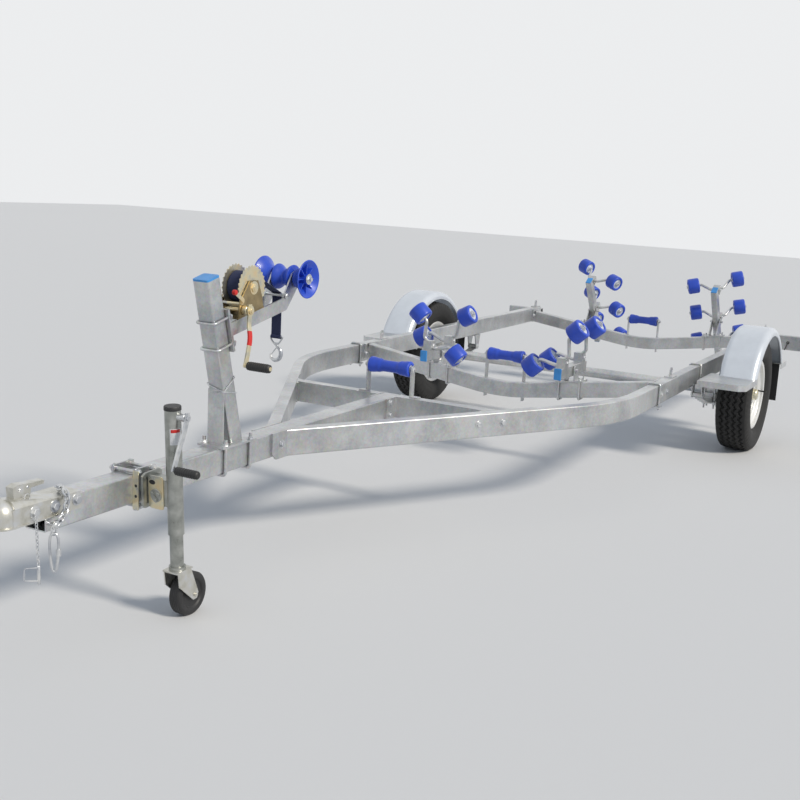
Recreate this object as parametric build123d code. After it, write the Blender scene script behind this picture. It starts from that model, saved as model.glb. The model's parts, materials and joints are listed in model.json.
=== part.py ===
from build123d import *
from collections import namedtuple
import math
import os

# Sizes in millimetres. Everything is drawn with the frame level: x forward from the
# axle, y to the left, z up from the line on which the tyres stand. build() then gives
# the trailer its stance, nose down on the jack, and moves the origin under its middle.

# Wheels and axle
tyre_radius = 323.0
tyre_width = 185.0
tread_thick = 17.0
rim_radius = 178.0
rim_flange = 195.0
rim_half = 61.0
rim_well = 22.0
rim_wall = 5.0
bead_gap = 0.35
wheel_y = 1030.0
hub_radius = 42.0
hub_length = 95.0
spindle_radius = 20.0
running_clearance = 0.05
axle_radius = 30.0
hand_holes = 10
hand_hole_ring = 119.0
hand_hole_radius = 11.0
stance_angle = 0.95

# Frame
frame_top = 518.0
tube_corner = 6.0
drawbar_width = 80.0
drawbar_height = 90.0
drawbar_wall = 4.0
drawbar_front_x = 4350.0
rail_width = 50.0
rail_height = 100.0
rail_wall = 3.0
rail_outer_y = 868.0
rail_angle = 30.0
rail_root_x = 3130.0
rail_foot_behind = 40.0
rail_foot_ahead = 141.0
rail_foot_chamfer = 26.0
rail_bend_radius = 900.0
rail_rear_x = -1450.0
flange_thick = 8.0

# Crossbeams
beam_width = 50.0
beam_height = 80.0
beam_wall = 3.0
front_beam_x = 2332.0
front_beam_height = 92.0
front_foot_ahead = 78.0
end_plate_over = 10.0
middle_beam_x = 1115.0
middle_beam_low = 413.0
rear_beam_x = -1340.0
rear_beam_low = 392.0
beam_slope = 8.0
beam_bend_radius = 1100.0
beam_flange_length = 120.0
light_arm_depth = 40.0
light_arm_y = 1075.0
light_arm_drop = 16.0

# Springs
spring_y = 843.0
spring_half = 330.0
spring_camber = 42.0
spring_pad = 6.0
leaf_width = 45.0
leaf_thick = 7.0
leaf_count = 5
eye_radius = 15.0
spring_pin_radius = 8.0
hanger_plate = 6.0
spring_hoop_radius = 5.0
spring_hoop_tail = 30.0

# Fenders
fender_radius = tyre_radius + 107.0
fender_drop = 42.0
fender_skin = 3.0
fender_inner_y = 955.0
fender_outer_y = 1158.0
fender_crown = 45.0
fender_front_angle = 29.0
fender_rear_angle = 151.0
step_length = 258.0
step_gap = 38.0
step_hook_x = 435.0
bracket_half = 35.0
bracket_thick = 6.0
bracket_reach = 76.0
stay_length = 148.0
foot_overlap = 45.0
step_fold = 32.0
step_corner = 35.0
flap_length = 240.0
flap_thick = 5.0

# Winch post and bow stop
post_size = 65.0
post_wall = 4.0
post_corner = 8.0
post_top = 1092.0
post_foot_x = 3463.0
post_rake = 14.3
brace_height = 190.0
brace_thick = 6.0
post_plate_length = 190.0
post_plate_width = 110.0
post_plate_thick = 8.0
post_plate_ahead = 12.0
post_bolt_inset = 25.0
post_cap_thick = 7.0
arm_plate = 6.0
arm_gap = 78.0
arm_back_thick = 10.0
arm_back_height = 150.0
arm_back_mid = 395.0
bow_x = 3149.0
bow_z = 1073.0
bow_pin_radius = 8.0
bow_bell_length = 50.0
tie_x = 3209.0
tie_z = 1014.0
tie_radius = 6.0
cheek_rear_x = 3600.0
cheek_rear_high = 930.0
cheek_height = 46.0
cheek_kink_x = 3228.0
cheek_kink_height = 48.0
cheek_low_ahead = 23.0
cheek_slope = 0.2022

# Winch
winch_x = 3403.0
winch_z = 1054.0
winch_disc_radius = 77.0
winch_disc_thick = 3.0
winch_teeth = 28
winch_tooth_depth = 6.0
winch_drum_radius = 32.0
winch_shaft_radius = 10.0
winch_inside = 66.0
winch_cheek = 5.0
winch_base_thick = 4.0
handle_x = 3457.0
handle_z = 982.0
handle_shaft_radius = 8.0
strap_roll = 22.0
strap_width = 40.0
strap_thick = 3.0
strap_low = 866.0

# Keel rollers
keel_roller_length = 200.0
keel_roller_radius = 34.0
keel_waist_radius = 25.0
keel_pin_radius = 8.0
keel_strap = 6.0
keel_strap_half = 16.0
keel_side_gap = 5.0

# Rocker sets
roller_radius = 52.0
roller_length = 76.0
roller_spacing = 296.0
roller_lift = 72.0
arm_radius = 9.0
arm_knee = 16.0
arm_spacing = 244.0
rear_arm_spacing = 240.0
front_bar_reach = 180.0
rear_bar_reach = 275.0
bar_width = 40.0
bar_height = 60.0
bar_wall = 3.0
holder_height = 62.0
pivot_boss_radius = 14.0
stand_plate = 6.0

# Jack
jack_x = 3948.0
jack_y = 165.0
jack_pivot_z = 473.0
jack_lean = 3.5
jack_outer_radius = 25.0
jack_outer_top = 268.0
jack_outer_low = -130.0
jack_inner_radius = 21.0
jack_inner_overlap = 190.0
jack_wall = 3.0
jack_plate = 8.0
jack_plate_gap = 0.3
swivel_boss = 22.0
crank_shaft_radius = 9.0
caster_radius = 70.0
caster_width = 44.0
caster_trail = 46.0
caster_neck = 98.0
caster_cheek = 4.0
caster_pin_radius = 6.0

# Coupler and chain
coupler_x = 4470.0
ball_radius = 25.4
dome_radius = 44.0
coupler_rear_x = 4219.0
coupler_sheet = 5.0
dome_drop = 16.0
socket_drop = 18.0
coupler_low = 471.0
chain_wire = 3.2
link_length = 40.0
chain_bolt_x = 4322.0
chain_links = 3
snap_length = 72.0

bolt_radius = 6.0
bolt_gap = 0.5
rail_lug_places = (930.0, -1400.0)
tie_hook_x = 1215.0

rail_inner_y = rail_outer_y - rail_width
rail_mid_y = rail_outer_y - rail_width / 2
rail_low = frame_top - rail_height
wheel_z = tyre_radius


# Helpers
def block(x0, x1, y0, y1, z0, z1):
    solid = Box(x1 - x0, y1 - y0, z1 - z0)
    return Pos((x0 + x1) / 2, (y0 + y1) / 2, (z0 + z1) / 2) * solid


def rod(start, end, radius):
    a = Vector(*start)
    run = Vector(*end) - a
    plane = Plane(origin=a, z_dir=run.normalized())
    return extrude(plane * Circle(radius), run.length)


def pipe(start, end, radius, wall):
    return rod(start, end, radius) - rod(start, end, radius - wall)


def tube_section(width, height, wall, corner):
    return RectangleRounded(width, height, corner) - RectangleRounded(
        width - 2 * wall, height - 2 * wall, max(corner - wall, 1)
    )


def side_face(outline, y0, y1):
    # An outline in x and z, given thickness from y0 to y1.
    plane = Plane(origin=(0, y0, 0), x_dir=(1, 0, 0), z_dir=(0, -1, 0))
    return extrude(plane * make_face(outline), -(y1 - y0))


def slab_xz(points, y0, y1):
    return side_face(Polyline(*points, close=True), y0, y1)


def slab_yz(points, x0, x1):
    plane = Plane(origin=(x0, 0, 0), x_dir=(0, 1, 0), z_dir=(1, 0, 0))
    face = plane * make_face(Polyline(*points, close=True))
    return extrude(face, x1 - x0)


def slab_xy(points, z0, z1):
    return extrude(Plane((0, 0, z0)) * make_face(Polyline(*points, close=True)), z1 - z0)


def swept(path, radius):
    return sweep(Plane(origin=path @ 0, z_dir=path % 0) * Circle(radius), path)


def bent_rod(points, bend, radius):
    return swept(FilletPolyline(*points, radius=bend), radius)


def turned(profile, x, y, z):
    # Profile points are (distance along y, radius), turned about a line along y.
    plane = Plane(origin=(x, y, z), x_dir=(0, 1, 0), z_dir=(1, 0, 0))
    outline = Polyline(*profile, close=True)
    return revolve(plane * make_face(outline), Axis((x, y, z), (0, 1, 0)))


def both(make):
    # A left piece and its mirror image, as solids of one node.
    left = make()
    return Compound([left, mirror(left, Plane.XZ)])


def u_bolt(points, radius):
    # The bends follow the rounded corners of the tube inside.
    return bent_rod(points, tube_corner + radius + bolt_gap, radius)


# Frame
def drawbar():
    rear = front_beam_x - beam_width / 2
    mid_z = frame_top - drawbar_height / 2
    section = tube_section(drawbar_width, drawbar_height, drawbar_wall, tube_corner)
    start = Plane(origin=(rear, 0, mid_z), x_dir=(0, 1, 0), z_dir=(1, 0, 0))
    bar = extrude(start * section, drawbar_front_x - rear)
    lid = extrude(start * RectangleRounded(drawbar_width, drawbar_height, tube_corner), drawbar_wall)
    return bar + lid


def rail_path(side_y):
    # Plan line of the left rail's middle: slanting out from the drawbar, one bend, then straight.
    slope = math.tan(math.radians(rail_angle))
    start_y = drawbar_width / 2 + flange_thick
    corner_x = rail_root_x - (side_y - start_y) / slope
    return [(rail_root_x, start_y), (corner_x, side_y), (rail_rear_x, side_y)]


def side_rail():
    mid_z = frame_top - rail_height / 2
    points = [(x, y, mid_z) for x, y in rail_path(rail_mid_y)]
    path = FilletPolyline(*points, radius=rail_bend_radius)
    section = tube_section(rail_width, rail_height, rail_wall, tube_corner)
    across = Vector(0, 0, 1).cross(path % 0)
    rail = sweep(Plane(origin=path @ 0, x_dir=across, z_dir=path % 0) * section, path)
    angle = math.radians(rail_angle)
    ahead = Vector(math.cos(angle), -math.sin(angle), 0)
    root = Plane(origin=points[0], x_dir=Vector(0, 0, 1).cross(ahead), z_dir=ahead)
    rail += extrude(root * section, rail_width / math.sin(angle))
    wall = drawbar_width / 2
    ahead_x = rail_root_x + 2 * rail_width
    keep = block(rail_rear_x - 1, ahead_x, wall + 0.1, rail_outer_y + 1, 0, frame_top + 1)
    x0 = rail_root_x - rail_foot_behind
    x1 = rail_root_x + rail_foot_ahead
    cut = rail_foot_chamfer
    foot = [(x0, rail_low), (x1 - cut, rail_low), (x1, rail_low + cut), (x1, frame_top), (x0, frame_top)]
    return (rail & keep) + slab_xz(foot, wall, wall + flange_thick)


def rail_inner_line(x):
    # Where the slanting rail's inner face lies at a given x.
    slope = math.tan(math.radians(rail_angle))
    start_y = drawbar_width / 2 + flange_thick
    return start_y + (rail_root_x - x) * slope - rail_width / 2 / math.cos(math.radians(rail_angle))


def front_half_beam():
    # From a foot plate on the drawbar's side out to an end plate on the slanting rail.
    low = frame_top - front_beam_height
    x0 = front_beam_x - beam_width / 2
    x1 = front_beam_x + beam_width / 2
    wall = drawbar_width / 2
    thick = flange_thick

    def strip(start, end, near, far):
        # Corners of a plan area whose far side follows the rail's inner face.
        edge = [(end, rail_inner_line(end) - far), (start, rail_inner_line(start) - far)]
        return [(start, near(start)), (end, near(end))] + edge

    beam = slab_xy(strip(x0, x1, lambda x: wall, 0), low, frame_top)
    hole = strip(x0 + beam_wall, x1 - beam_wall, lambda x: wall + thick, thick)
    beam -= slab_xy(hole, low + beam_wall, frame_top - beam_wall)
    beam += block(x0 - end_plate_over, x1 + front_foot_ahead, wall, wall + thick, low, frame_top)
    plate = strip(x0 - end_plate_over, x1 + 2 * end_plate_over, lambda x: rail_inner_line(x) - thick, 0)
    return beam + slab_xy(plate, low, frame_top)


def beam_dip():
    # How far the bent beam's corner point lies below the middle of its arc.
    return beam_bend_radius * (1 / math.cos(math.radians(beam_slope)) - 1)


def bent_beam(x_mid, low_top):
    # A beam bent down in the middle, with a bolting flange at each rail.
    end_y = rail_inner_y - flange_thick
    mid_z = low_top - beam_height / 2 - beam_dip()
    end_z = mid_z + end_y * math.tan(math.radians(beam_slope))
    points = [(x_mid, -end_y, end_z), (x_mid, 0, mid_z), (x_mid, end_y, end_z)]
    path = FilletPolyline(*points, radius=beam_bend_radius)
    section = tube_section(beam_width, beam_height, beam_wall, tube_corner)
    solid = sweep(Plane(origin=path @ 0, x_dir=(1, 0, 0), z_dir=path % 0) * section, path)
    half = beam_flange_length / 2
    high = min(end_z + beam_height / 2 + 8, frame_top)
    low = max(end_z - beam_height / 2 - 2, rail_low)
    for side in (-1, 1):
        y0 = min(side * end_y, side * rail_inner_y)
        solid += block(x_mid - half, x_mid + half, y0, y0 + flange_thick, low, high)
    return solid


def beam_top(y, low_top):
    # Height of a bent beam's top face at a distance from the middle.
    slope = math.radians(beam_slope)
    half = beam_height / 2
    return low_top - beam_dip() - half + half / math.cos(slope) + abs(y) * math.tan(slope)


def light_arm():
    x0 = rail_rear_x - light_arm_depth
    length = light_arm_y - rail_inner_y
    middle = ((x0 + rail_rear_x) / 2, rail_inner_y, frame_top - light_arm_drop - rail_height / 2)
    section = tube_section(light_arm_depth, rail_height, rail_wall, tube_corner)
    return extrude(Plane(origin=middle, x_dir=(-1, 0, 0), z_dir=(0, 1, 0)) * section, length)


# Running gear
def axle_beam():
    reach = wheel_y - hub_length / 2 - 2
    spindle = wheel_y + hub_length / 2 - 12
    beam = rod((0, -reach, wheel_z), (0, reach, wheel_z), axle_radius)
    return beam + rod((0, -spindle, wheel_z), (0, spindle, wheel_z), spindle_radius)


def spring_arc():
    # Radius and centre height of the main leaf's upper face, from its half length and camber.
    radius = (spring_half**2 + spring_camber**2) / (2 * spring_camber)
    return radius, wheel_z - axle_radius - spring_pad + radius


def spring_eye():
    # Place of the eyes: their lowest point is level with the main leaf's lower face.
    radius, centre_z = spring_arc()
    angle = math.asin(spring_half / radius)
    reach = radius + leaf_thick - eye_radius
    return reach * math.sin(angle), centre_z - reach * math.cos(angle)


def leaf(number):
    # A strip of a ring about the spring's centre; each leaf is shorter than the one above.
    radius, centre_z = spring_arc()
    half = spring_half * (1 - 0.8 * number / leaf_count)
    edges = []
    for r in (radius + number * leaf_thick, radius + (number + 1) * leaf_thick):
        end_z = centre_z - math.sqrt(r * r - half * half)
        edges.append(ThreePointArc((-half, end_z), (0, centre_z - r), (half, end_z)))
    upper, lower = edges
    outline = [upper, Line(upper @ 1, lower @ 1), lower, Line(lower @ 0, upper @ 0)]
    return side_face(outline, spring_y - leaf_width / 2, spring_y + leaf_width / 2)


def spring_hoop(y):
    # A U-bolt over the axle, down through the plate under the leaves.
    reach = axle_radius + spring_hoop_radius + bolt_gap
    low = wheel_z - axle_radius - spring_pad - leaf_count * leaf_thick - flange_thick - spring_hoop_tail
    legs = [Line((side * reach, y, low), (side * reach, y, wheel_z)) for side in (-1, 1)]
    over = ThreePointArc((-reach, y, wheel_z), (0, y, wheel_z + reach), (reach, y, wheel_z))
    down = Line(legs[1] @ 1, legs[1] @ 0)
    return swept(Wire([legs[0].edge(), over.edge(), down.edge()]), spring_hoop_radius)


def leaf_spring():
    # Slung under the axle: a pad on the main leaf, a plate under the pack and two U-bolts.
    solid = leaf(0)
    for number in range(1, leaf_count):
        solid += leaf(number)
    half = leaf_width / 2
    eye_x, eye_z = spring_eye()
    for x in (-eye_x, eye_x):
        solid += rod((x, spring_y - half, eye_z), (x, spring_y + half, eye_z), eye_radius)
        bore = spring_pin_radius + running_clearance
        solid -= rod((x, spring_y - half - 1, eye_z), (x, spring_y + half + 1, eye_z), bore)
    seat = wheel_z - axle_radius
    pad = block(-45, 45, spring_y - half, spring_y + half, seat - spring_pad - 1, seat + 12)
    pad -= rod((0, spring_y - leaf_width, wheel_z), (0, spring_y + leaf_width, wheel_z), axle_radius + 0.1)
    under = seat - spring_pad - leaf_count * leaf_thick
    wide = half + 2 * spring_hoop_radius + 6
    plate = block(-55, 55, spring_y - wide, spring_y + wide, under - flange_thick, under + 0.5)
    solid += pad + plate
    for side in (-1, 1):
        solid += spring_hoop(spring_y + side * (half + spring_hoop_radius + bolt_gap))
    return solid


def spring_hanger():
    # Two ears and a pin at each end of the spring, under a plate welded to the rail.
    eye_x, eye_z = spring_eye()
    inside = leaf_width / 2 + 1
    outside = inside + hanger_plate
    under = rail_low - hanger_plate
    pieces = []
    for x in (-eye_x, eye_x):
        solid = block(x - 40, x + 40, spring_y - outside, spring_y + outside, under, rail_low)
        ear = [(x - 40, under + 1), (x + 40, under + 1), (x + 17, eye_z - 4), (x - 17, eye_z - 4)]
        for y0 in (spring_y - outside, spring_y + inside):
            solid += slab_xz(ear, y0, y0 + hanger_plate)
            solid += rod((x, y0, eye_z), (x, y0 + hanger_plate, eye_z), eye_radius + 3)
        head = outside + 7
        solid += rod((x, spring_y - head, eye_z), (x, spring_y + head, eye_z), spring_pin_radius)
        pieces.append(solid)
    return pieces


def spring_hangers():
    left = spring_hanger()
    return Compound(left + [mirror(piece, Plane.XZ) for piece in left])


def tyre():
    # Bead, sidewall, shoulder and tread of one half, outside and inside; the other half mirrors it.
    half = tyre_width / 2
    bead = rim_half + 4 - bead_gap
    seat = rim_radius + 2 + bead_gap
    outside = [
        (bead, seat),
        (bead, rim_flange + 2),
        (0.79 * half, rim_flange + 9),
        (0.97 * half, tyre_radius - 84),
        (half, tyre_radius - 58),
        (0.95 * half, tyre_radius - 28),
        (0.82 * half, tyre_radius - 8),
        (0.7 * half, tyre_radius - 1.5),
    ]
    inside = [
        (bead - 17, seat),
        (bead - 13, rim_flange + 16),
        (0.84 * half, tyre_radius - 84),
        (0.86 * half, tyre_radius - 56),
        (0.74 * half, tyre_radius - tread_thick - 10),
        (0.5 * half, tyre_radius - tread_thick),
    ]
    profile = outside + [(0, tyre_radius)] + [(-x, r) for x, r in reversed(outside)]
    profile += [(-x, r) for x, r in inside] + list(reversed(inside))
    return turned(profile, 0, wheel_y, wheel_z)


def rim():
    # Barrel with a drop well, dished disc, hub and dust cap, turned in one, then the hand holes.
    seat = rim_half + 4
    edge = seat + 4
    well = rim_radius - rim_well
    under = well - rim_wall
    bore = spindle_radius + running_clearance
    end = hub_length / 2
    profile = [
        (-edge, rim_flange), (-seat, rim_flange), (-seat, rim_radius + 2),
        (-rim_half + 14, rim_radius), (-rim_half + 26, well),
        (rim_half - 26, well), (rim_half - 14, rim_radius),
        (seat, rim_radius + 2), (seat, rim_flange), (edge, rim_flange),
        (edge, rim_radius - 4), (rim_half - 12, rim_radius - 6), (rim_half - 24, under),
        (18, under), (28, hand_hole_ring + hand_hole_radius + 4),
        (34, hand_hole_ring - hand_hole_radius - 6),
        (22, 2 * hub_radius - 4), (22, hub_radius), (end, hub_radius), (end, bore),
        (1 - end, bore), (1 - end, hub_radius + 8), (14, hub_radius + 8),
        (14, 2 * hub_radius - 2), (28, hand_hole_ring - hand_hole_radius - 4),
        (22, hand_hole_ring + hand_hole_radius + 2),
        (10, under), (-rim_half + 24, under), (-rim_half + 12, rim_radius - 6), (-edge, rim_radius - 4),
    ]
    body = turned(profile, 0, wheel_y, wheel_z)
    cap_y = wheel_y + end
    body += rod((0, cap_y - 8, wheel_z), (0, cap_y + 18, wheel_z), hub_radius - 12)
    body += rod((0, cap_y + 17, wheel_z), (0, cap_y + 26, wheel_z), hub_radius - 20)
    for number in range(hand_holes):
        angle = 2 * math.pi * number / hand_holes
        x = hand_hole_ring * math.cos(angle)
        z = wheel_z + hand_hole_ring * math.sin(angle)
        body -= rod((x, wheel_y + 5, z), (x, wheel_y + 60, z), hand_hole_radius)
    return body


def fender():
    # A C section with rounded shoulders, turned over the wheel from front to rear about a
    # point below the axle, and cut level at both ends.
    width = fender_outer_y - fender_inner_y
    mid = (fender_outer_y + fender_inner_y) / 2
    centre_z = wheel_z - fender_drop
    shoulder = fender_crown - 10
    inside = shoulder - fender_skin
    skin = RectangleRounded(width, 2 * fender_crown, shoulder)
    skin -= RectangleRounded(width - 2 * fender_skin, 2 * (fender_crown - fender_skin), inside)
    skin -= Pos(0, -fender_crown) * Rectangle(width + 10, 2 * fender_crown)
    start = fender_front_angle - 6
    angle = math.radians(start)
    plane = Plane(
        origin=(0, mid, centre_z), x_dir=(0, 1, 0), z_dir=(math.sin(angle), 0, -math.cos(angle))
    )
    section = plane * (Pos(0, fender_radius - fender_crown) * skin)
    turn = fender_rear_angle + 6 - start
    arch = revolve(section, Axis((0, 0, centre_z), (0, -1, 0)), turn)
    far = fender_radius + 10
    for end, angle_deg in ((far, fender_front_angle), (-far, fender_rear_angle)):
        low = fender_end(angle_deg)[1]
        arch -= block(min(0, end), max(0, end), fender_inner_y - 1, fender_outer_y + 1, 0, low)
    return arch


def fender_end(angle_deg):
    # Where the fender stands at one end: x at its skin, and the height at which it is cut level.
    angle = math.radians(angle_deg)
    low = wheel_z - fender_drop + (fender_radius - fender_crown) * math.sin(angle)
    return fender_radius * math.cos(angle), low


def fender_foot(angle_deg, length, ahead, y0):
    # Folded plate under the fender's end, with a chamfered outer corner.
    edge_x, top = fender_end(angle_deg)
    t = fender_skin
    x0 = edge_x - foot_overlap * ahead
    x1 = edge_x + length * ahead
    y1 = fender_outer_y
    cut = step_corner
    low = top - step_fold
    outline = [(x0, y0), (x1, y0), (x1, y1 - cut), (x1 - cut * ahead, y1), (x0, y1)]
    open_x = x0 - 5 * ahead
    near_x = x1 - t * ahead
    hollow = [
        (open_x, y0 + t), (near_x, y0 + t), (near_x, y1 - cut - t / 2),
        (x1 - (cut + t / 2) * ahead, y1 - t), (open_x, y1 - t),
    ]
    plate = slab_xy(outline, low, top) - slab_xy(hollow, low - 1, top - t)
    return plate - rod((0, y0 - 1, wheel_z), (0, y1 + 5, wheel_z), tyre_radius + 30)


def fender_step():
    # The front foot plate and the bracket that carries it out from under the rail.
    top = fender_end(fender_front_angle)[1]
    y1 = rail_outer_y + bracket_reach
    x0 = step_hook_x - bracket_half
    x1 = step_hook_x + bracket_half
    under = rail_low - bracket_thick
    shelf = block(x0, x1, rail_inner_y - 18, y1, under, rail_low)
    for y in hook_legs():
        shelf -= rod((step_hook_x, y, under - 1), (step_hook_x, y, rail_low + 1), bolt_radius)
    upright = block(x0, x1, y1 - bracket_thick, y1, under, top - 1)
    plate = fender_foot(fender_front_angle, step_length, 1, rail_outer_y + step_gap)
    return plate + shelf + upright


def fender_stay():
    return fender_foot(fender_rear_angle, stay_length, -1, rail_outer_y)


def mud_flap():
    # Hangs under the rear stay, inside its fold.
    edge_x, low = fender_end(fender_rear_angle)
    x = edge_x - stay_length / 2
    top = low - fender_skin
    half = flap_thick / 2
    return block(x - half, x + half, fender_inner_y + 12, fender_outer_y - 30, top - flap_length, top)


# Winch post and bow stop
def post_frame():
    return Pos(post_foot_x, 0, frame_top + post_plate_thick) * Rot(0, post_rake, 0)


def post_length():
    return (post_top - frame_top - post_plate_thick) / math.cos(math.radians(post_rake))


def drawbar_u_bolt(x, high):
    y = drawbar_width / 2 + bolt_radius + bolt_gap
    low = frame_top - drawbar_height - bolt_radius - bolt_gap
    return u_bolt([(x, -y, high), (x, -y, low), (x, y, low), (x, y, high)], bolt_radius)


def winch_post():
    foot_z = frame_top + post_plate_thick
    below = post_size
    section = tube_section(post_size, post_size, post_wall, post_corner)
    tube = post_frame() * Pos(0, 0, -below) * extrude(section, post_length() + below)
    tube &= block(post_foot_x - 400, post_foot_x + 600, -post_size, post_size, foot_z, post_top + 100)
    mid = post_foot_x + post_plate_ahead
    half = post_plate_length / 2
    plate = block(mid - half, mid + half, -post_plate_width / 2, post_plate_width / 2, frame_top, foot_z)
    rake = math.radians(post_rake)
    face = post_foot_x + brace_height * math.tan(rake) + post_size / 2 / math.cos(rake)
    brace = block(face - brace_thick, face, -post_size / 2, post_size / 2, foot_z, foot_z + brace_height)
    solid = tube + plate + brace
    for x in (mid - half + post_bolt_inset, mid + half - post_bolt_inset):
        solid += drawbar_u_bolt(x, foot_z + 22)
    return solid


def post_cap():
    cap = extrude(RectangleRounded(post_size, post_size, post_corner), post_cap_thick)
    return post_frame() * Pos(0, 0, post_length()) * cap


def arm_top(x):
    # Upper edge of the bow arm's cheeks, ahead of their kink.
    return cheek_rear_high + (cheek_rear_x - x) * cheek_slope


def bow_arm():
    # Two cheeks from a plate behind the post up to the bow roller's pin, and a tie between them.
    kink = cheek_kink_x
    low_kink = kink - cheek_low_ahead
    cheek = [
        (cheek_rear_x, cheek_rear_high - cheek_height), (low_kink, arm_top(low_kink) - cheek_kink_height),
        (bow_x - 27, bow_z - 15), (bow_x - 23, bow_z + 15), (bow_x + 1, bow_z + 28),
        (bow_x + 27, bow_z + 17), (kink, arm_top(kink)), (cheek_rear_x, cheek_rear_high),
    ]
    inside = arm_gap / 2
    solid = None
    for y0 in (-inside - arm_plate, inside):
        piece = slab_xz(cheek, y0, y0 + arm_plate)
        solid = piece if solid is None else solid + piece
    back = post_size / 2 + bolt_gap + arm_back_thick
    post_room = Box(post_size * 2, post_size * 3, 2 * arm_back_mid)
    solid -= post_frame() * Pos(post_size - back + 2, 0, arm_back_mid) * post_room
    wide = 2 * (inside + arm_plate)
    plate = Box(arm_back_thick, wide, arm_back_height)
    solid += post_frame() * Pos(arm_back_thick / 2 - back, 0, arm_back_mid) * plate
    solid += rod((tie_x, -inside - 8, tie_z), (tie_x, inside + 8, tie_z), tie_radius)
    wire = bolt_radius - 1
    reach = post_size / 2 + wire + bolt_gap
    for z in (arm_back_mid - 47, arm_back_mid + 47):
        tail = -back - 14
        loop = [(tail, -reach, z), (reach, -reach, z), (reach, reach, z), (tail, reach, z)]
        solid += post_frame() * bent_rod(loop, post_corner + wire + bolt_gap, wire)
    pin = inside + arm_plate + bow_bell_length + 10
    return solid + rod((bow_x, -pin, bow_z), (bow_x, pin, bow_z), bow_pin_radius)


def bow_roller():
    # Double cone between the cheeks and a bell with an open cup at each end.
    bore = bow_pin_radius + running_clearance
    half = arm_gap / 2 - 3
    core = [(-half, bore), (-half, 46), (-half + 10, 46), (0, 29), (half - 10, 46), (half, 46), (half, bore)]
    start = arm_gap / 2 + arm_plate + 3
    end = start + bow_bell_length
    bell = [
        (start, bore), (start, 34), (start + 0.3 * bow_bell_length, 38), (end, 69), (end, 63),
        (start + 0.5 * bow_bell_length, 37), (start + 0.42 * bow_bell_length, 24), (end, 18), (end, bore),
    ]
    left = turned(bell, bow_x, 0, bow_z)
    return Compound([turned(core, bow_x, 0, bow_z), left, mirror(left, Plane.XZ)])


# Winch
def winch_frame():
    # A base plate on the arm's cheeks and two standing cheeks bored for the two shafts.
    inside = winch_inside / 2 + winch_disc_thick + 3
    x0, x1 = winch_x - 60, handle_x + 32
    base = [(x0, arm_top(x0)), (x1, arm_top(x1))]
    base += [(x1, arm_top(x1) + winch_base_thick), (x0, arm_top(x0) + winch_base_thick)]
    reach = arm_gap / 2 + arm_plate
    solid = slab_xz(base, -reach, reach)
    cheek = [
        (x0 + 2, arm_top(x0 + 2)), (x1 - 2, arm_top(x1 - 2)), (x1 - 8, handle_z + 22),
        (winch_x + 24, winch_z + 24), (winch_x - 24, winch_z + 24), (x0 + 12, winch_z - 30),
    ]
    for y0 in (-inside - winch_cheek, inside):
        solid += slab_xz(cheek, y0, y0 + winch_cheek)
    solid -= rod((winch_x, -80, winch_z), (winch_x, 80, winch_z), winch_shaft_radius + 0.3)
    return solid - rod((handle_x, -80, handle_z), (handle_x, 80, handle_z), handle_shaft_radius + 0.3)


def winch_drum():
    flange = winch_inside / 2
    end = flange + winch_disc_thick
    drum = rod((winch_x, -end, winch_z), (winch_x, end, winch_z), winch_drum_radius)
    teeth = []
    for number in range(2 * winch_teeth):
        angle = math.pi * (number - 0.4 * (number % 2)) / winch_teeth
        r = winch_disc_radius - winch_tooth_depth * (number % 2)
        teeth.append((winch_x + r * math.cos(angle), winch_z + r * math.sin(angle)))
    for y0 in (-end, flange):
        drum += slab_xz(teeth, y0, y0 + winch_disc_thick)
    tip = end + winch_cheek + 11
    return drum + rod((winch_x, -tip, winch_z), (winch_x, tip, winch_z), winch_shaft_radius)


def winch_strap():
    # Turns on the drum, a straight run to the tie of the bow arm, round it and straight down.
    roll = winch_drum_radius + strap_roll
    rest = tie_radius + 0.3 + strap_thick / 2
    dx, dz = winch_x - tie_x, winch_z - tie_z
    turn = math.atan2(dz, dx) + math.acos((rest - roll) / math.hypot(dx, dz))
    edges = []
    for offset in (strap_thick / 2, -strap_thick / 2):
        r = rest + offset
        points = [
            (winch_x + (roll + offset) * math.cos(turn), winch_z + (roll + offset) * math.sin(turn)),
            (tie_x + r * math.cos(turn), tie_z + r * math.sin(turn)),
            (tie_x + r * math.cos((turn + math.pi) / 2), tie_z + r * math.sin((turn + math.pi) / 2)),
            (tie_x - r, tie_z),
            (tie_x - r, strap_low),
        ]
        edges.append(points)
    outer, inner = edges
    outline = [
        Line(outer[0], outer[1]), ThreePointArc(*outer[1:4]), Line(outer[3], outer[4]),
        Line(outer[4], inner[4]), Line(inner[4], inner[3]), ThreePointArc(inner[3], inner[2], inner[1]),
        Line(inner[1], inner[0]), Line(inner[0], outer[0]),
    ]
    half = strap_width / 2
    band = side_face(outline, -half, half)
    wide = winch_inside / 2 - 4
    turns = rod((winch_x, -wide, winch_z), (winch_x, wide, winch_z), roll)
    turns -= rod((winch_x, -wide - 1, winch_z), (winch_x, wide + 1, winch_z), winch_drum_radius + 0.2)
    x, z = hook_eye()
    loop = rod((x, -half, z), (x, half, z), 4 + strap_thick)
    solid = turns + band + loop
    return solid - rod((x, -half - 1, z), (x, half + 1, z), 4)


def hook_eye():
    # Middle of the hook's bar, in the loop at the strap's end.
    return tie_x - tie_radius - 0.3 - strap_thick / 2, strap_low - 4 - strap_thick / 2


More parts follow.
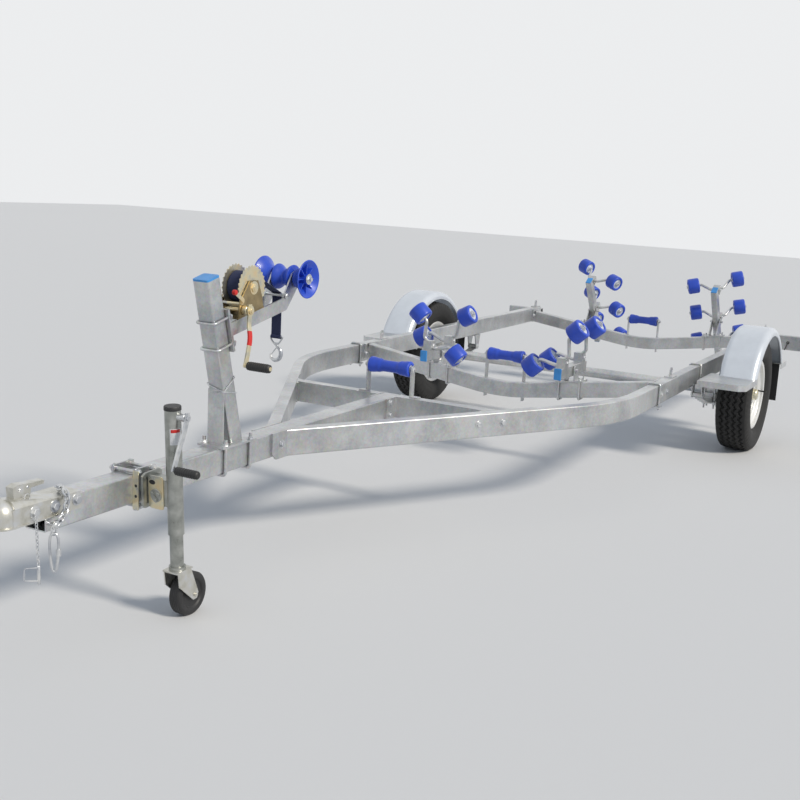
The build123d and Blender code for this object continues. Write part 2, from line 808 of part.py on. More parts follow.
def winch_hook():
    x, z = hook_eye()
    wire = 3.7
    half = strap_width / 2 + 6
    solid = rod((x, -half, z), (x, half, z), wire)
    for side in (-1, 1):
        for corner_z in (z, z - 11):
            solid += Pos(x, side * half, corner_z) * Sphere(wire)
        solid += rod((x, side * half, z), (x, side * half, z - 11), wire)
        solid += rod((x, side * half, z - 11), (x, 0, z - 34), wire)
    solid += rod((x, 0, z - 28), (x, 0, z - 44), 6)
    points = [(x, 0, z - 40), (x, -13, z - 52), (x, -13, z - 82), (x, 11, z - 86), (x, 13, z - 66)]
    return solid + bent_rod(points, 8, 4.5)


def winch_handle():
    y = winch_inside / 2 + winch_disc_thick
    shaft = rod((handle_x, -y - 14, handle_z), (handle_x, y + 44, handle_z), handle_shaft_radius)
    hub = rod((handle_x, y + 18, handle_z), (handle_x, y + 40, handle_z), 15)
    tip = (handle_x + 38, y + 46, handle_z - 180)
    knee = (handle_x + 12, y + 46, handle_z - 95)
    points = [(handle_x, y + 30, handle_z - 8), (handle_x + 2, y + 30, handle_z - 50), knee, tip]
    arm = bent_rod(points, 25, 7)
    grip = rod(tip, (tip[0], y + 70, tip[2]), 9)
    grip += rod((tip[0], y + 56, tip[2]), (tip[0], y + 150, tip[2]), 15)
    return shaft + hub + arm + grip


# Coupler and chains
def coupler():
    # A pressed cap over the drawbar's front, a domed socket for the ball, and a latch on top.
    half = drawbar_width / 2
    outer = half + coupler_sheet
    top = frame_top + coupler_sheet
    x = coupler_x
    cap = block(coupler_rear_x, x, -outer, outer, coupler_low, top)
    height = top - coupler_low
    rise = dome_radius - dome_drop - 6
    dome_z = frame_top - dome_drop
    back_middle = (drawbar_front_x - 30, 0, coupler_low + height / 2)
    front_middle = (x - 8, 0, coupler_low + (height + rise) / 2)
    back = Plane(origin=back_middle, x_dir=(0, 1, 0), z_dir=(1, 0, 0))
    front = Plane(origin=front_middle, x_dir=(0, 1, 0), z_dir=(1, 0, 0))
    neck = loft([
        back * RectangleRounded(2 * outer, height, 5),
        front * RectangleRounded(2 * dome_radius, height + rise, 30),
    ])
    dome = Pos(x, 0, dome_z) * Sphere(dome_radius) & block(x - 60, x + 60, -60, 60, dome_z, dome_z + 60)
    nose = rod((x, 0, coupler_low), (x, 0, dome_z), dome_radius)
    lip = rod((x, 0, coupler_low), (x, 0, coupler_low + 4), dome_radius + 6)
    lip += block(coupler_rear_x + 60, x, -outer - 4, outer + 4, coupler_low, coupler_low + 4)
    solid = cap + neck + dome + nose + lip
    solid -= block(coupler_rear_x - 1, drawbar_front_x + 0.3, -half, half, coupler_low - 10, frame_top)
    socket_z = frame_top - socket_drop
    solid -= rod((x, 0, coupler_low - 20), (x, 0, socket_z), ball_radius)
    solid -= Pos(x, 0, socket_z) * Sphere(ball_radius)
    latch = [
        (x - 33, top - 4), (x - 29, top + 50), (x - 48, top + 56), (x - 90, top + 52),
        (x - 141, top + 50), (x - 141, top + 40), (x - 92, top + 38), (x - 89, top - 4),
    ]
    solid += slab_xz(latch, -14, 14)
    for bolt_x in (x - 77, x - 151, x - 235):
        for side in (-1, 1):
            y0 = side * outer
            solid += rod((bolt_x, y0, frame_top - 18), (bolt_x, y0 + side * 8, frame_top - 18), 9)
    return solid


def chain_link(centre, along, across, size, wire):
    plane = Plane(origin=centre, x_dir=along, z_dir=across)
    loop = plane * (SlotOverall(size, size * 0.62).wire())
    return sweep(Plane(origin=loop @ 0, z_dir=loop % 0) * Circle(wire), loop)


def safety_chain():
    # A bolt through the drawbar's side, the links that hang from it and a snap link below.
    y = drawbar_width / 2
    z = coupler_low - 14
    hang = y + coupler_sheet + 12
    chain_pitch = link_length - 2 * chain_wire - 0.3
    pieces = [rod((chain_bolt_x, y, z), (chain_bolt_x, hang + 12, z), 6)]
    centre_z = z - link_length / 2 + chain_wire + 5.7
    for number in range(chain_links):
        across = (1, 0, 0) if number % 2 else (0, 1, 0)
        centre = (chain_bolt_x, hang, centre_z - number * chain_pitch)
        pieces.append(chain_link(centre, (0, 0, 1), across, link_length, chain_wire))
    across = (1, 0, 0) if chain_links % 2 else (0, 1, 0)
    low = centre_z - (chain_links - 1) * chain_pitch - link_length / 2
    centre = (chain_bolt_x, hang, low + 2 * chain_wire + 0.3 - snap_length / 2)
    pieces.append(chain_link(centre, (0, 0, 1), across, snap_length, chain_wire))
    return Compound(pieces)


# Rollers on the centre line
KeelSet = namedtuple("KeelSet", "name x z foot_z")
behind = beam_width / 2 + keel_strap_half
keel_sets = [
    KeelSet("front", front_beam_x, 640.0, frame_top),
    KeelSet("middle", middle_beam_x - behind, 541.0, middle_beam_low - beam_height - 22),
    KeelSet("rear", rear_beam_x - behind, 508.0, rear_beam_low - beam_height - 22),
]


def keel_roller(keel):
    bore = keel_pin_radius + running_clearance
    half = keel_roller_length / 2
    r = keel_roller_radius
    profile = [
        (-half, bore), (-half, r - 3), (-half + 3, r), (-half + 34, r - 2), (-half + 62, keel_waist_radius),
        (half - 62, keel_waist_radius), (half - 34, r - 2), (half - 3, r), (half, r - 3), (half, bore),
    ]
    return turned(profile, keel.x, 0, keel.z)


def keel_brackets():
    # Two straps and a pin for each roller; the front one stands on the beam on turned-out feet.
    pieces = []
    y = keel_roller_length / 2 + keel_side_gap
    pin = y + keel_strap + 12
    for keel in keel_sets:
        x0 = keel.x - keel_strap_half
        x1 = keel.x + keel_strap_half
        solid = rod((keel.x, -pin, keel.z), (keel.x, pin, keel.z), keel_pin_radius)
        for side in (-1, 1):
            y0 = min(side * y, side * (y + keel_strap))
            solid += block(x0, x1, y0, y0 + keel_strap, keel.foot_z, keel.z + 16)
            if keel.name == "front":
                y1 = min(side * y, side * (y + 40))
                solid += block(x0, x1, y1, y1 + 40, keel.foot_z, keel.foot_z + keel_strap)
        pieces.append(solid)
    return Compound(pieces)


# Rocker sets: side is 1 on the left, tilt lowers the rear, reach is the bar's half length,
# and each arm has its x on the bar and the angle at which it has come to rest.
RockerSet = namedtuple("RockerSet", "name side x y z beam_x beam_low reach tilt arms")
near, far = arm_spacing / 2, rear_arm_spacing
front = (middle_beam_x, middle_beam_low, front_bar_reach, 0.0)
rear = (rear_beam_x, rear_beam_low, rear_bar_reach, -56.0)
rocker_sets = [
    RockerSet("front_left", 1, 1140.0, 385.0, 522.0, *front, [(near, 41), (-near, 40)]),
    RockerSet("front_right", -1, 1140.0, -365.0, 522.0, *front, [(near, 42), (-near, -28)]),
    RockerSet("rear_left", 1, -1400.0, 510.0, 552.0, *rear, [(far, 24), (0, 21), (-far, 27)]),
    RockerSet("rear_right", -1, -1400.0, -385.0, 536.0, *rear, [(far, 30), (0, 34), (-far, 34)]),
]


def rocker_place(entry):
    return Pos(entry.x, entry.y, entry.z) * Rot(0, entry.tilt, 0)


def arm_place(entry, number):
    arm_x, lean = entry.arms[number]
    return rocker_place(entry) * Pos(arm_x, 0, holder_height) * Rot(entry.side * lean, 0, 0)


def rocker_arm():
    # One bent rod: low through the holder on the bar, up at each side and level through the rollers.
    mid = roller_spacing / 2
    inner = mid - roller_length / 2 - arm_knee
    tip = mid + roller_length / 2 + 8
    path = [(0, -tip, roller_lift), (0, -inner, roller_lift), (0, -42, 0), (0, 42, 0)]
    path += [(0, inner, roller_lift), (0, tip, roller_lift)]
    return bent_rod(path, 24, arm_radius)


def rocker(entry):
    # A box bar on a cross pin, with a holder for each arm.
    section = Rot(0, 90, 0) * tube_section(bar_height, bar_width, bar_wall, tube_corner)
    bar = Pos(-entry.reach, 0, 0) * extrude(section, 2 * entry.reach)
    bar += rod((0, -bar_width / 2, 0), (0, bar_width / 2, 0), pivot_boss_radius)
    bar -= rod((0, -bar_width, 0), (0, bar_width, 0), keel_pin_radius + running_clearance)
    low = bar_height / 2 - 2
    high = holder_height + arm_radius + 5
    for arm_x, lean in entry.arms:
        bar += block(arm_x - 22, arm_x + 22, -bar_width / 2 - 4, bar_width / 2 + 4, low, high)
    solid = rocker_place(entry) * bar
    for number in range(len(entry.arms)):
        solid += arm_place(entry, number) * rocker_arm()
    return solid


def roller_pair(entry, number):
    bore = arm_radius + running_clearance
    half = roller_length / 2
    r = roller_radius
    side = [(half, bore), (half, r - 8), (half - 3, r - 2), (half - 10, r)]
    profile = side + [(-x, rr) for x, rr in reversed(side)]
    rollers = [turned(profile, 0, end * roller_spacing / 2, roller_lift) for end in (-1, 1)]
    return arm_place(entry, number) * Compound(rollers)


def rocker_stand(entry):
    # A foot plate on the beam, two cheeks with the cross pin, and two U-bolts round the beam.
    x, y, z = entry.x, entry.y, entry.z
    beam_x = entry.beam_x
    reach = 72.0
    foot = [(y + end, beam_top(y + end, entry.beam_low)) for end in (-reach, reach)]
    foot += [(fy, fz + stand_plate + 2) for fy, fz in reversed(foot)]
    solid = slab_yz(foot, beam_x - 38, beam_x + 38)
    gap = bar_width / 2 + 4
    pin = gap + stand_plate + 12
    solid += rod((x, y - pin, z), (x, y + pin, z), keel_pin_radius)
    wire = bolt_radius - 1
    leg = beam_width / 2 + wire + 1.5
    for end in (-1, 1):
        near = y + end * gap
        foot_z = beam_top(near, entry.beam_low) + 3
        cheek = [
            (beam_x - 36, foot_z), (beam_x + 36, foot_z), (x + 22, z + 14),
            (x + 8, z + 24), (x - 16, z + 18), (x - 22, z - 6),
        ]
        y0 = min(near, near + end * stand_plate)
        solid += slab_xz(cheek, y0, y0 + stand_plate)
        bolt_y = y + end * 55
        high = beam_top(bolt_y, entry.beam_low) + 24
        low = high - 24 - beam_height / math.cos(math.radians(beam_slope)) - wire - 3
        loop = [(beam_x - leg, bolt_y, high), (beam_x - leg, bolt_y, low)]
        loop += [(beam_x + leg, bolt_y, low), (beam_x + leg, bolt_y, high)]
        solid += u_bolt(loop, wire)
    return solid


# Jack, drawn about its swivel with the tube's axis at x = 0
def jack_frame():
    return Pos(jack_x, 0, jack_pivot_z) * Rot(0, jack_lean, 0)


def caster_drop():
    # Distance from the swivel down the tube to the caster's pin, so that its wheel meets the ground.
    lean = math.radians(jack_lean)
    stance = math.radians(stance_angle)
    height = jack_pivot_z + caster_trail * math.sin(lean) - wheel_z
    ahead = jack_x - caster_trail * math.cos(lean)
    rise = wheel_z - caster_radius + height * math.cos(stance) - ahead * math.sin(stance)
    return rise / math.cos(lean + stance)


def jack_clamp():
    # Two plates squeezed against the drawbar by four long bolts, and the swivel's boss.
    half = drawbar_width / 2
    low = frame_top - drawbar_height
    over = 2 * bolt_radius + 8
    long = 46.0
    solid = None
    for y0 in (-half - jack_plate, half):
        plate = block(jack_x - long, jack_x + long, y0, y0 + jack_plate, low - over, frame_top + over)
        solid = plate if solid is None else solid + plate
    for x in (jack_x - long + 12, jack_x + long - 12):
        for z in (frame_top + bolt_radius + 2, low - bolt_radius - 2):
            solid += rod((x, -half - 22, z), (x, half + 22, z), bolt_radius)
    face = half + jack_plate
    return solid + rod((jack_x, face, jack_pivot_z), (jack_x, face + swivel_boss, jack_pivot_z), 22)


def jack_tube():
    # Outer tube with its cap, the swivel plate and a web between them.
    inner_y = drawbar_width / 2 + jack_plate + swivel_boss + jack_plate_gap
    tube = pipe((0, jack_y, jack_outer_low), (0, jack_y, jack_outer_top), jack_outer_radius, jack_wall)
    cap = rod((0, jack_y, jack_outer_top - 2), (0, jack_y, jack_outer_top + 8), jack_outer_radius + 1)
    outline = [(-38, -52), (38, -52), (44, -40), (44, 50), (32, 58), (-32, 58), (-44, 50), (-44, -40)]
    plate = slab_xz(outline, inner_y, inner_y + jack_plate)
    web = block(-22, 22, inner_y + jack_plate, jack_y, -40, 45)
    web -= rod((0, jack_y, -60), (0, jack_y, 60), jack_outer_radius - 1)
    return jack_frame() * (tube + cap + plate + web)


def jack_crank():
    z = jack_outer_top - 22
    y = jack_y + jack_outer_radius
    boss = rod((0, y, z), (0, y + 20, z), crank_shaft_radius + 2)
    points = [(0, y + 14, z), (18, y + 14, z - 40), (52, y + 18, z - 150)]
    arm = bent_rod(points, 20, crank_shaft_radius - 2.5)
    grip = rod((52, y + 14, z - 150), (52, y + 110, z - 150), crank_shaft_radius + 4)
    return jack_frame() * (boss + arm + grip)


def jack_inner():
    low = caster_neck - caster_drop()
    high = jack_outer_low + jack_inner_overlap
    tube = pipe((0, jack_y, low), (0, jack_y, high), jack_inner_radius, jack_wall)
    collar = rod((0, jack_y, low), (0, jack_y, low + 10), jack_inner_radius + 5)
    return jack_frame() * (tube + collar)


def caster_fork():
    drop = caster_drop()
    top = caster_neck - drop - 0.3
    gap = caster_width / 2 + 4
    wide = gap + caster_cheek
    solid = block(-38, 34, jack_y - wide, jack_y + wide, top - 5, top)
    x = -caster_trail
    cheek = [
        (30, top - 3), (-30, top - 3), (x - 16, 4 - drop),
        (x - 8, -14 - drop), (x + 10, -14 - drop), (26, top - 50),
    ]
    for y0 in (jack_y - wide, jack_y + gap):
        solid += slab_xz(cheek, y0, y0 + caster_cheek)
    pin = wide + 6
    solid += rod((x, jack_y - pin, -drop), (x, jack_y + pin, -drop), caster_pin_radius)
    return jack_frame() * solid


def caster_wheel():
    # A wheel with a dished face each side and a rounded tread.
    bore = caster_pin_radius + running_clearance
    half = caster_width / 2
    r = caster_radius
    side = [(half, bore), (half, 18), (10, 24), (10, r - 22), (half, r - 16), (half, r - 6), (half - 8, r)]
    profile = side + [(-x, rr) for x, rr in reversed(side)]
    return jack_frame() * turned(profile, -caster_trail, jack_y, -caster_drop())


# Rail fittings
def rail_lug(x):
    z = frame_top + 34
    base = block(x - 40, x + 40, rail_mid_y - 22, rail_mid_y + 22, frame_top, frame_top + 6)
    ear = block(x - 16, x + 16, rail_mid_y - 3, rail_mid_y + 3, frame_top + 5, z)
    ear += rod((x, rail_mid_y - 3, z), (x, rail_mid_y + 3, z), 16)
    return base + ear - rod((x, rail_mid_y - 10, z), (x, rail_mid_y + 10, z), 9)


def rail_lugs():
    left = [rail_lug(x) for x in rail_lug_places]
    return Compound(left + [mirror(piece, Plane.XZ) for piece in left])


def hook_legs():
    reach = rail_width / 2 + bolt_radius - 1 + bolt_gap
    return rail_mid_y - reach, rail_mid_y + reach


def rail_u_bolt(x):
    # Over the rail, with its legs down through the plate under it.
    wire = bolt_radius - 1
    high = frame_top + wire + bolt_gap
    low = rail_low - bracket_thick - spring_hoop_tail / 2
    y0, y1 = hook_legs()
    return u_bolt([(x, y0, low), (x, y0, high), (x, y1, high), (x, y1, low)], wire)


def rail_u_bolts():
    under = rail_low - bracket_thick
    left = [rail_u_bolt(x) for x in (step_hook_x, tie_hook_x)]
    plate = block(tie_hook_x - 18, tie_hook_x + 18, rail_inner_y - 16, rail_outer_y + 16, under, rail_low)
    left[1] += plate
    return Compound(left + [mirror(piece, Plane.XZ) for piece in left])


def stance():
    # Nose down on the jack, turned about the axle.
    return Pos(0, 0, wheel_z) * Rot(0, stance_angle, 0) * Pos(0, 0, -wheel_z)


def level_nodes():
    nodes = {
        "drawbar": drawbar(),
        "coupler": coupler(),
        "safety_chain": safety_chain(),
        "side_rail_left": side_rail(),
        "side_rail_right": mirror(side_rail(), Plane.XZ),
        "crossbeam_front": both(front_half_beam),
        "crossbeam_middle": bent_beam(middle_beam_x, middle_beam_low),
        "crossbeam_rear": bent_beam(rear_beam_x, rear_beam_low),
        "light_arms": both(light_arm),
        "axle_beam": axle_beam(),
        "leaf_springs": both(leaf_spring),
        "spring_hangers": spring_hangers(),
        "fenders": both(fender),
        "fender_steps": both(fender_step),
        "fender_stays": both(fender_stay),
        "mud_flaps": both(mud_flap),
        "winch_post": winch_post(),
        "winch_post_cap": post_cap(),
        "bow_arm": bow_arm(),
        "winch_frame": winch_frame(),
        "winch_drum": winch_drum(),
        "winch_strap": winch_strap(),
        "winch_hook": winch_hook(),
        "winch_handle": winch_handle(),
        "bow_roller": bow_roller(),
        "keel_brackets": keel_brackets(),
        "rail_lugs": rail_lugs(),
        "rail_u_bolts": rail_u_bolts(),
        "jack_clamp": jack_clamp(),
        "jack_tube": jack_tube(),
        "jack_crank": jack_crank(),
        "jack_inner": jack_inner(),
        "caster_fork": caster_fork(),
        "caster_wheel": caster_wheel(),
        "tyre_left": tyre(),
        "tyre_right": mirror(tyre(), Plane.XZ),
        "rim_left": rim(),
        "rim_right": mirror(rim(), Plane.XZ),
    }
    for keel in keel_sets:
        nodes[f"keel_roller_{keel.name}"] = keel_roller(keel)
    for entry in rocker_sets:
        nodes[f"rocker_{entry.name}"] = rocker(entry)
        nodes[f"rocker_stand_{entry.name}"] = rocker_stand(entry)
        for number in range(len(entry.arms)):
            nodes[f"rollers_{entry.name}_{number + 1}"] = roller_pair(entry, number)
    return nodes


def build():
    # The parts in their stance, and how far the origin moves to lie under the middle of the length.
    nodes = {name: stance() * shape for name, shape in level_nodes().items()}
    boxes = [shape.bounding_box() for shape in nodes.values()]
    middle = (min(box.min.X for box in boxes) + max(box.max.X for box in boxes)) / 2
    return {name: Pos(-middle, 0, 0) * shape for name, shape in nodes.items()}, middle


def main():
    os.makedirs("parts", exist_ok=True)
    nodes, middle = build()
    for name, shape in nodes.items():
        export_step(shape, f"parts/{name}.step")
    print(f"origin lies {middle:.3f} mm ahead of the axle")


if __name__ == "__main__":
    main()
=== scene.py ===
import json
import math

import bpy
import numpy as np
from mathutils import Matrix


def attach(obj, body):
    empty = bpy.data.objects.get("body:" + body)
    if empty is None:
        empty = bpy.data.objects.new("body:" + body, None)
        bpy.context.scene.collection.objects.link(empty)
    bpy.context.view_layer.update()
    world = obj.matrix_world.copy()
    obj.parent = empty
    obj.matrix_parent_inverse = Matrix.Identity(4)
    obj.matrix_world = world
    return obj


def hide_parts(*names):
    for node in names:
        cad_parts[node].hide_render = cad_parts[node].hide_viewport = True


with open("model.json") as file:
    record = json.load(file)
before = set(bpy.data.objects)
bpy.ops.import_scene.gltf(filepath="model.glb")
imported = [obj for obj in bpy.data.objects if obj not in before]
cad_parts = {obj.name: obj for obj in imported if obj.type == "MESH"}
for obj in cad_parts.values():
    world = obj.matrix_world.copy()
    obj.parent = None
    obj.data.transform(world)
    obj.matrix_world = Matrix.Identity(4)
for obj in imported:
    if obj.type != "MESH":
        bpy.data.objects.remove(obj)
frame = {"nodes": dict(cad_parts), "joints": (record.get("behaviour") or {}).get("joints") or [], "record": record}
nodes = frame["nodes"]
joints = {joint["name"]: joint for joint in frame["joints"]}
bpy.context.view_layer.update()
axleX = joints["wheel_spin_left"]["pos_m"][0]


# Camera: measured from the ground under the axle, metres and degrees; focal length in pixels of the frame
cameraView = {"place": (6.5607, 2.3244, 1.3629), "yaw": 208.2542, "pitch": 10.6384, "roll": 3.4411,
              "focal": 1130.636, "frame": 800.0, "sensor": 36.0}


def addCamera(view):
    # looks along yaw and pitch, then turns about its own axis by roll
    yaw, pitch, roll = (math.radians(view[key]) for key in ("yaw", "pitch", "roll"))
    ahead = np.array([math.cos(yaw) * math.cos(pitch), math.sin(yaw) * math.cos(pitch), -math.sin(pitch)])
    right = np.cross(ahead, (0, 0, 1))
    right /= np.linalg.norm(right)
    up = np.cross(right, ahead)
    turnedRight = math.cos(roll) * right + math.sin(roll) * up
    turnedUp = -math.sin(roll) * right + math.cos(roll) * up
    data = bpy.data.cameras.new("camera")
    data.sensor_width = view["sensor"]
    data.lens = view["focal"] / view["frame"] * view["sensor"]
    camera = bpy.data.objects.new("camera", data)
    bpy.context.scene.collection.objects.link(camera)
    x, y, z = view["place"]
    columns = np.column_stack([turnedRight, turnedUp, -ahead, (x + axleX, y, z)])
    camera.matrix_world = Matrix([*columns.tolist(), (0, 0, 0, 1)])
    bpy.context.scene.camera = camera


addCamera(cameraView)
print("camera set")


# Light and floor: a soft key from the left, a pale sky and a pale floor
lightSettings = {"keyDirection": (-0.1, -1.0, -0.8), "keyStrength": 2.5, "keyAngle": 12.0,
                 "keyColour": (1.0, 0.94, 0.86), "skyColour": (0.74, 0.84, 1.0), "skyStrength": 0.45,
                 "backdrop": (0.84, 0.85, 0.86), "floorColour": (0.72, 0.72, 0.71), "floorSize": 60.0}


def addNode(tree, kind, inputs=None, **settings):
    node = tree.nodes.new(kind)
    for key, value in settings.items():
        setattr(node, key, value)
    for key, value in (inputs or {}).items():
        node.inputs[key].default_value = value
    return node


def addLight(settings):
    sun = bpy.data.lights.new("keyLight", "SUN")
    sun.energy = settings["keyStrength"]
    sun.angle = math.radians(settings["keyAngle"])
    sun.color = settings["keyColour"]
    lamp = bpy.data.objects.new("keyLight", sun)
    bpy.context.scene.collection.objects.link(lamp)
    ahead = np.array(settings["keyDirection"], float)
    ahead /= np.linalg.norm(ahead)
    side = np.cross(ahead, (0, 0, 1))
    side /= np.linalg.norm(side)
    columns = np.column_stack([side, np.cross(side, ahead), -ahead, (0, 4, 5)])
    lamp.matrix_world = Matrix([*columns.tolist(), (0, 0, 0, 1)])
    world = bpy.data.worlds.new("sky")
    bpy.context.scene.world = world
    world.use_nodes = True
    tree = world.node_tree
    tree.nodes.clear()
    rays = addNode(tree, "ShaderNodeLightPath")
    seen = addNode(tree, "ShaderNodeMath", operation="MAXIMUM")
    tree.links.new(rays.outputs["Is Camera Ray"], seen.inputs[0])
    tree.links.new(rays.outputs["Is Glossy Ray"], seen.inputs[1])
    sky = addNode(tree, "ShaderNodeBackground",
                  {"Color": (*settings["skyColour"], 1), "Strength": settings["skyStrength"]})
    plain = addNode(tree, "ShaderNodeBackground", {"Color": (*settings["backdrop"], 1), "Strength": 1.0})
    mixed = addNode(tree, "ShaderNodeMixShader")
    out = addNode(tree, "ShaderNodeOutputWorld")
    tree.links.new(seen.outputs[0], mixed.inputs[0])
    tree.links.new(sky.outputs[0], mixed.inputs[1])
    tree.links.new(plain.outputs[0], mixed.inputs[2])
    tree.links.new(mixed.outputs[0], out.inputs[0])


def addFloor(settings):
    half = settings["floorSize"] / 2
    mesh = bpy.data.meshes.new("floor")
    corners = [(-half, -half, 0), (half, -half, 0), (half, half, 0), (-half, half, 0)]
    mesh.from_pydata(corners, [], [(0, 1, 2, 3)])
    floor = bpy.data.objects.new("floor", mesh)
    bpy.context.scene.collection.objects.link(floor)
    material = bpy.data.materials.new("floor")
    material.use_nodes = True
    shader = material.node_tree.nodes["Principled BSDF"]
    shader.inputs["Base Color"].default_value = (*settings["floorColour"], 1)
    shader.inputs["Roughness"].default_value = 0.9
    mesh.materials.append(material)


addLight(lightSettings)
addFloor(lightSettings)
bpy.context.scene.view_settings.view_transform = "Standard"
print("light and floor set")


# Materials
def newMaterial(name, colour, roughness, metallic=0.0, **sockets):
    material = bpy.data.materials.new(name)
    material.use_nodes = True
    tree = material.node_tree
    shader = tree.nodes["Principled BSDF"]
    shader.inputs["Base Color"].default_value = (*colour, 1)
    shader.inputs["Roughness"].default_value = roughness
    shader.inputs["Metallic"].default_value = metallic
    for key, value in sockets.items():
        shader.inputs[key.replace("_", " ")].default_value = value
    return material, tree, shader


def objectPoint(tree, scale):
    coords = addNode(tree, "ShaderNodeTexCoord")
    mapping = addNode(tree, "ShaderNodeMapping", {"Scale": scale})
    tree.links.new(coords.outputs["Object"], mapping.inputs["Vector"])
    return mapping.outputs["Vector"]


def noise(tree, vector, scale, detail, rough=0.55):
    node = addNode(tree, "ShaderNodeTexNoise", {"Scale": scale, "Detail": detail, "Roughness": rough})
    tree.links.new(vector, node.inputs["Vector"])
    return node.outputs["Fac"]


def ramp(tree, factor, stops):
    # stops are (position, colour)
    node = addNode(tree, "ShaderNodeValToRGB")
    elements = node.color_ramp.elements
    while len(elements) < len(stops):
        elements.new(0.5)
    for element, (position, colour) in zip(elements, stops):
        element.position = position
        element.color = (*colour, 1)
    tree.links.new(factor, node.inputs["Fac"])
    return node.outputs["Color"]


def mixColour(tree, factor, first, second, blend="MIX"):
    node = addNode(tree, "ShaderNodeMix", data_type="RGBA", blend_type=blend)
    for name, value in (("Factor", factor), ("A", first), ("B", second)):
        socket = node.inputs[name]
        if isinstance(value, bpy.types.NodeSocket):
            tree.links.new(value, socket)
        elif isinstance(value, tuple):
            socket.default_value = (*value, 1)
        else:
            socket.default_value = value
    return node.outputs["Result"]


def mapRange(tree, factor, low, high):
    node = addNode(tree, "ShaderNodeMapRange", {"To Min": low, "To Max": high})
    tree.links.new(factor, node.inputs["Value"])
    return node.outputs["Result"]


def bump(tree, shader, height, strength, distance):
    node = addNode(tree, "ShaderNodeBump", {"Strength": strength, "Distance": distance})
    tree.links.new(height, node.inputs["Height"])
    tree.links.new(node.outputs["Normal"], shader.inputs["Normal"])


galvanisedSettings = {"pale": (0.64, 0.66, 0.68), "mid": (0.50, 0.52, 0.54), "warm": (0.60, 0.56, 0.49),
                      "dull": (0.39, 0.42, 0.46), "roughness": (0.20, 0.46), "metallic": 0.85,
                      "clouds": 5.0, "streaks": 38.0, "stretch": 0.16, "spots": 60.0,
                      "spotGreys": (0.36, 0.60), "spotShare": 0.22, "crystals": 140.0,
                      "crystalShare": 0.14, "grain": 260.0}


def galvanisedMaterial(s):
    # mottled grey: broad clouds, long runs down the faces, spots, fine crystals of zinc and a soft grain
    material, tree, shader = newMaterial("galvanised", s["mid"], 0.5, s["metallic"])
    plain = objectPoint(tree, (1, 1, 1))
    runs = objectPoint(tree, (1, 1, s["stretch"]))
    clouds = noise(tree, plain, s["clouds"], 6.0, 0.62)
    streaks = noise(tree, runs, s["streaks"], 5.0, 0.6)
    speckle = noise(tree, plain, s["spots"], 6.0, 0.7)
    crystals = addNode(tree, "ShaderNodeTexVoronoi", {"Scale": s["crystals"]})
    tree.links.new(plain, crystals.inputs["Vector"])
    grey = ramp(tree, clouds, [(0.32, s["dull"]), (0.47, s["mid"]), (0.62, s["pale"])])
    warmed = mixColour(tree, mapRange(tree, streaks, -0.35, 0.75), grey, s["warm"])
    dark, light = s["spotGreys"]
    spots = ramp(tree, speckle, [(0.42, (dark, dark, dark)), (0.6, (light, light, light))])
    mottled = mixColour(tree, s["spotShare"], warmed, spots, "OVERLAY")
    flecks = mixColour(tree, s["crystalShare"], mottled, crystals.outputs["Color"], "SOFT_LIGHT")
    tree.links.new(flecks, shader.inputs["Base Color"])
    tree.links.new(mapRange(tree, streaks, *s["roughness"]), shader.inputs["Roughness"])
    bump(tree, shader, noise(tree, plain, s["grain"], 3.0), 0.12, 0.001)
    return material


def paintedSilver(name, colour, roughness):
    # aluminium-coloured paint with a faint cloudiness and orange peel
    material, tree, shader = newMaterial(name, colour, roughness, 0.45)
    plain = objectPoint(tree, (1, 1, 1))
    darker = tuple(0.93 * value for value in colour)
    clouds = ramp(tree, noise(tree, plain, 9.0, 5.0), [(0.35, darker), (0.6, colour)])
    tree.links.new(clouds, shader.inputs["Base Color"])
    bump(tree, shader, noise(tree, plain, 420.0, 2.0), 0.06, 0.0006)
    return material


def zincMaterial(name, dull, mid, bright):
    # plated steel: clouds of three tints with a roughness that follows them
    material, tree, shader = newMaterial(name, mid, 0.32, 0.85)
    plain = objectPoint(tree, (1, 1, 1))
    clouds = noise(tree, plain, 26.0, 5.0)
    tint = ramp(tree, clouds, [(0.32, dull), (0.5, mid), (0.68, bright)])
    tree.links.new(tint, shader.inputs["Base Color"])
    tree.links.new(mapRange(tree, clouds, 0.20, 0.42), shader.inputs["Roughness"])
    return material


def webbingMaterial(colour):
    # woven band: fine ribs across its length, darker between the threads
    material, tree, shader = newMaterial("strapNavy", colour, 0.85)
    plain = objectPoint(tree, (1, 1, 1))
    weave = addNode(tree, "ShaderNodeTexWave", {"Scale": 160.0, "Distortion": 0.4}, bands_direction="Z")
    tree.links.new(plain, weave.inputs["Vector"])
    darker = tuple(0.45 * value for value in colour)
    threads = ramp(tree, weave.outputs["Fac"], [(0.2, darker), (0.7, colour)])
    tree.links.new(threads, shader.inputs["Base Color"])
    bump(tree, shader, weave.outputs["Fac"], 0.4, 0.0006)
    return material


def moulded(name, colour, roughness, scale, strength, coat=0.0):
    # moulded plastic or rubber: small colour drift and a fine moulded grain
    material, tree, shader = newMaterial(name, colour, roughness, 0.0, Coat_Weight=coat)
    plain = objectPoint(tree, (1, 1, 1))
    darker = tuple(0.8 * value for value in colour)
    drift = ramp(tree, noise(tree, plain, 14.0, 5.0), [(0.35, darker), (0.62, colour)])
    tree.links.new(drift, shader.inputs["Base Color"])
    sheen = mapRange(tree, noise(tree, plain, 30.0, 3.0), roughness - 0.08, roughness + 0.1)
    tree.links.new(sheen, shader.inputs["Roughness"])
    bump(tree, shader, noise(tree, plain, scale, 2.0), strength, 0.0008)
    return material


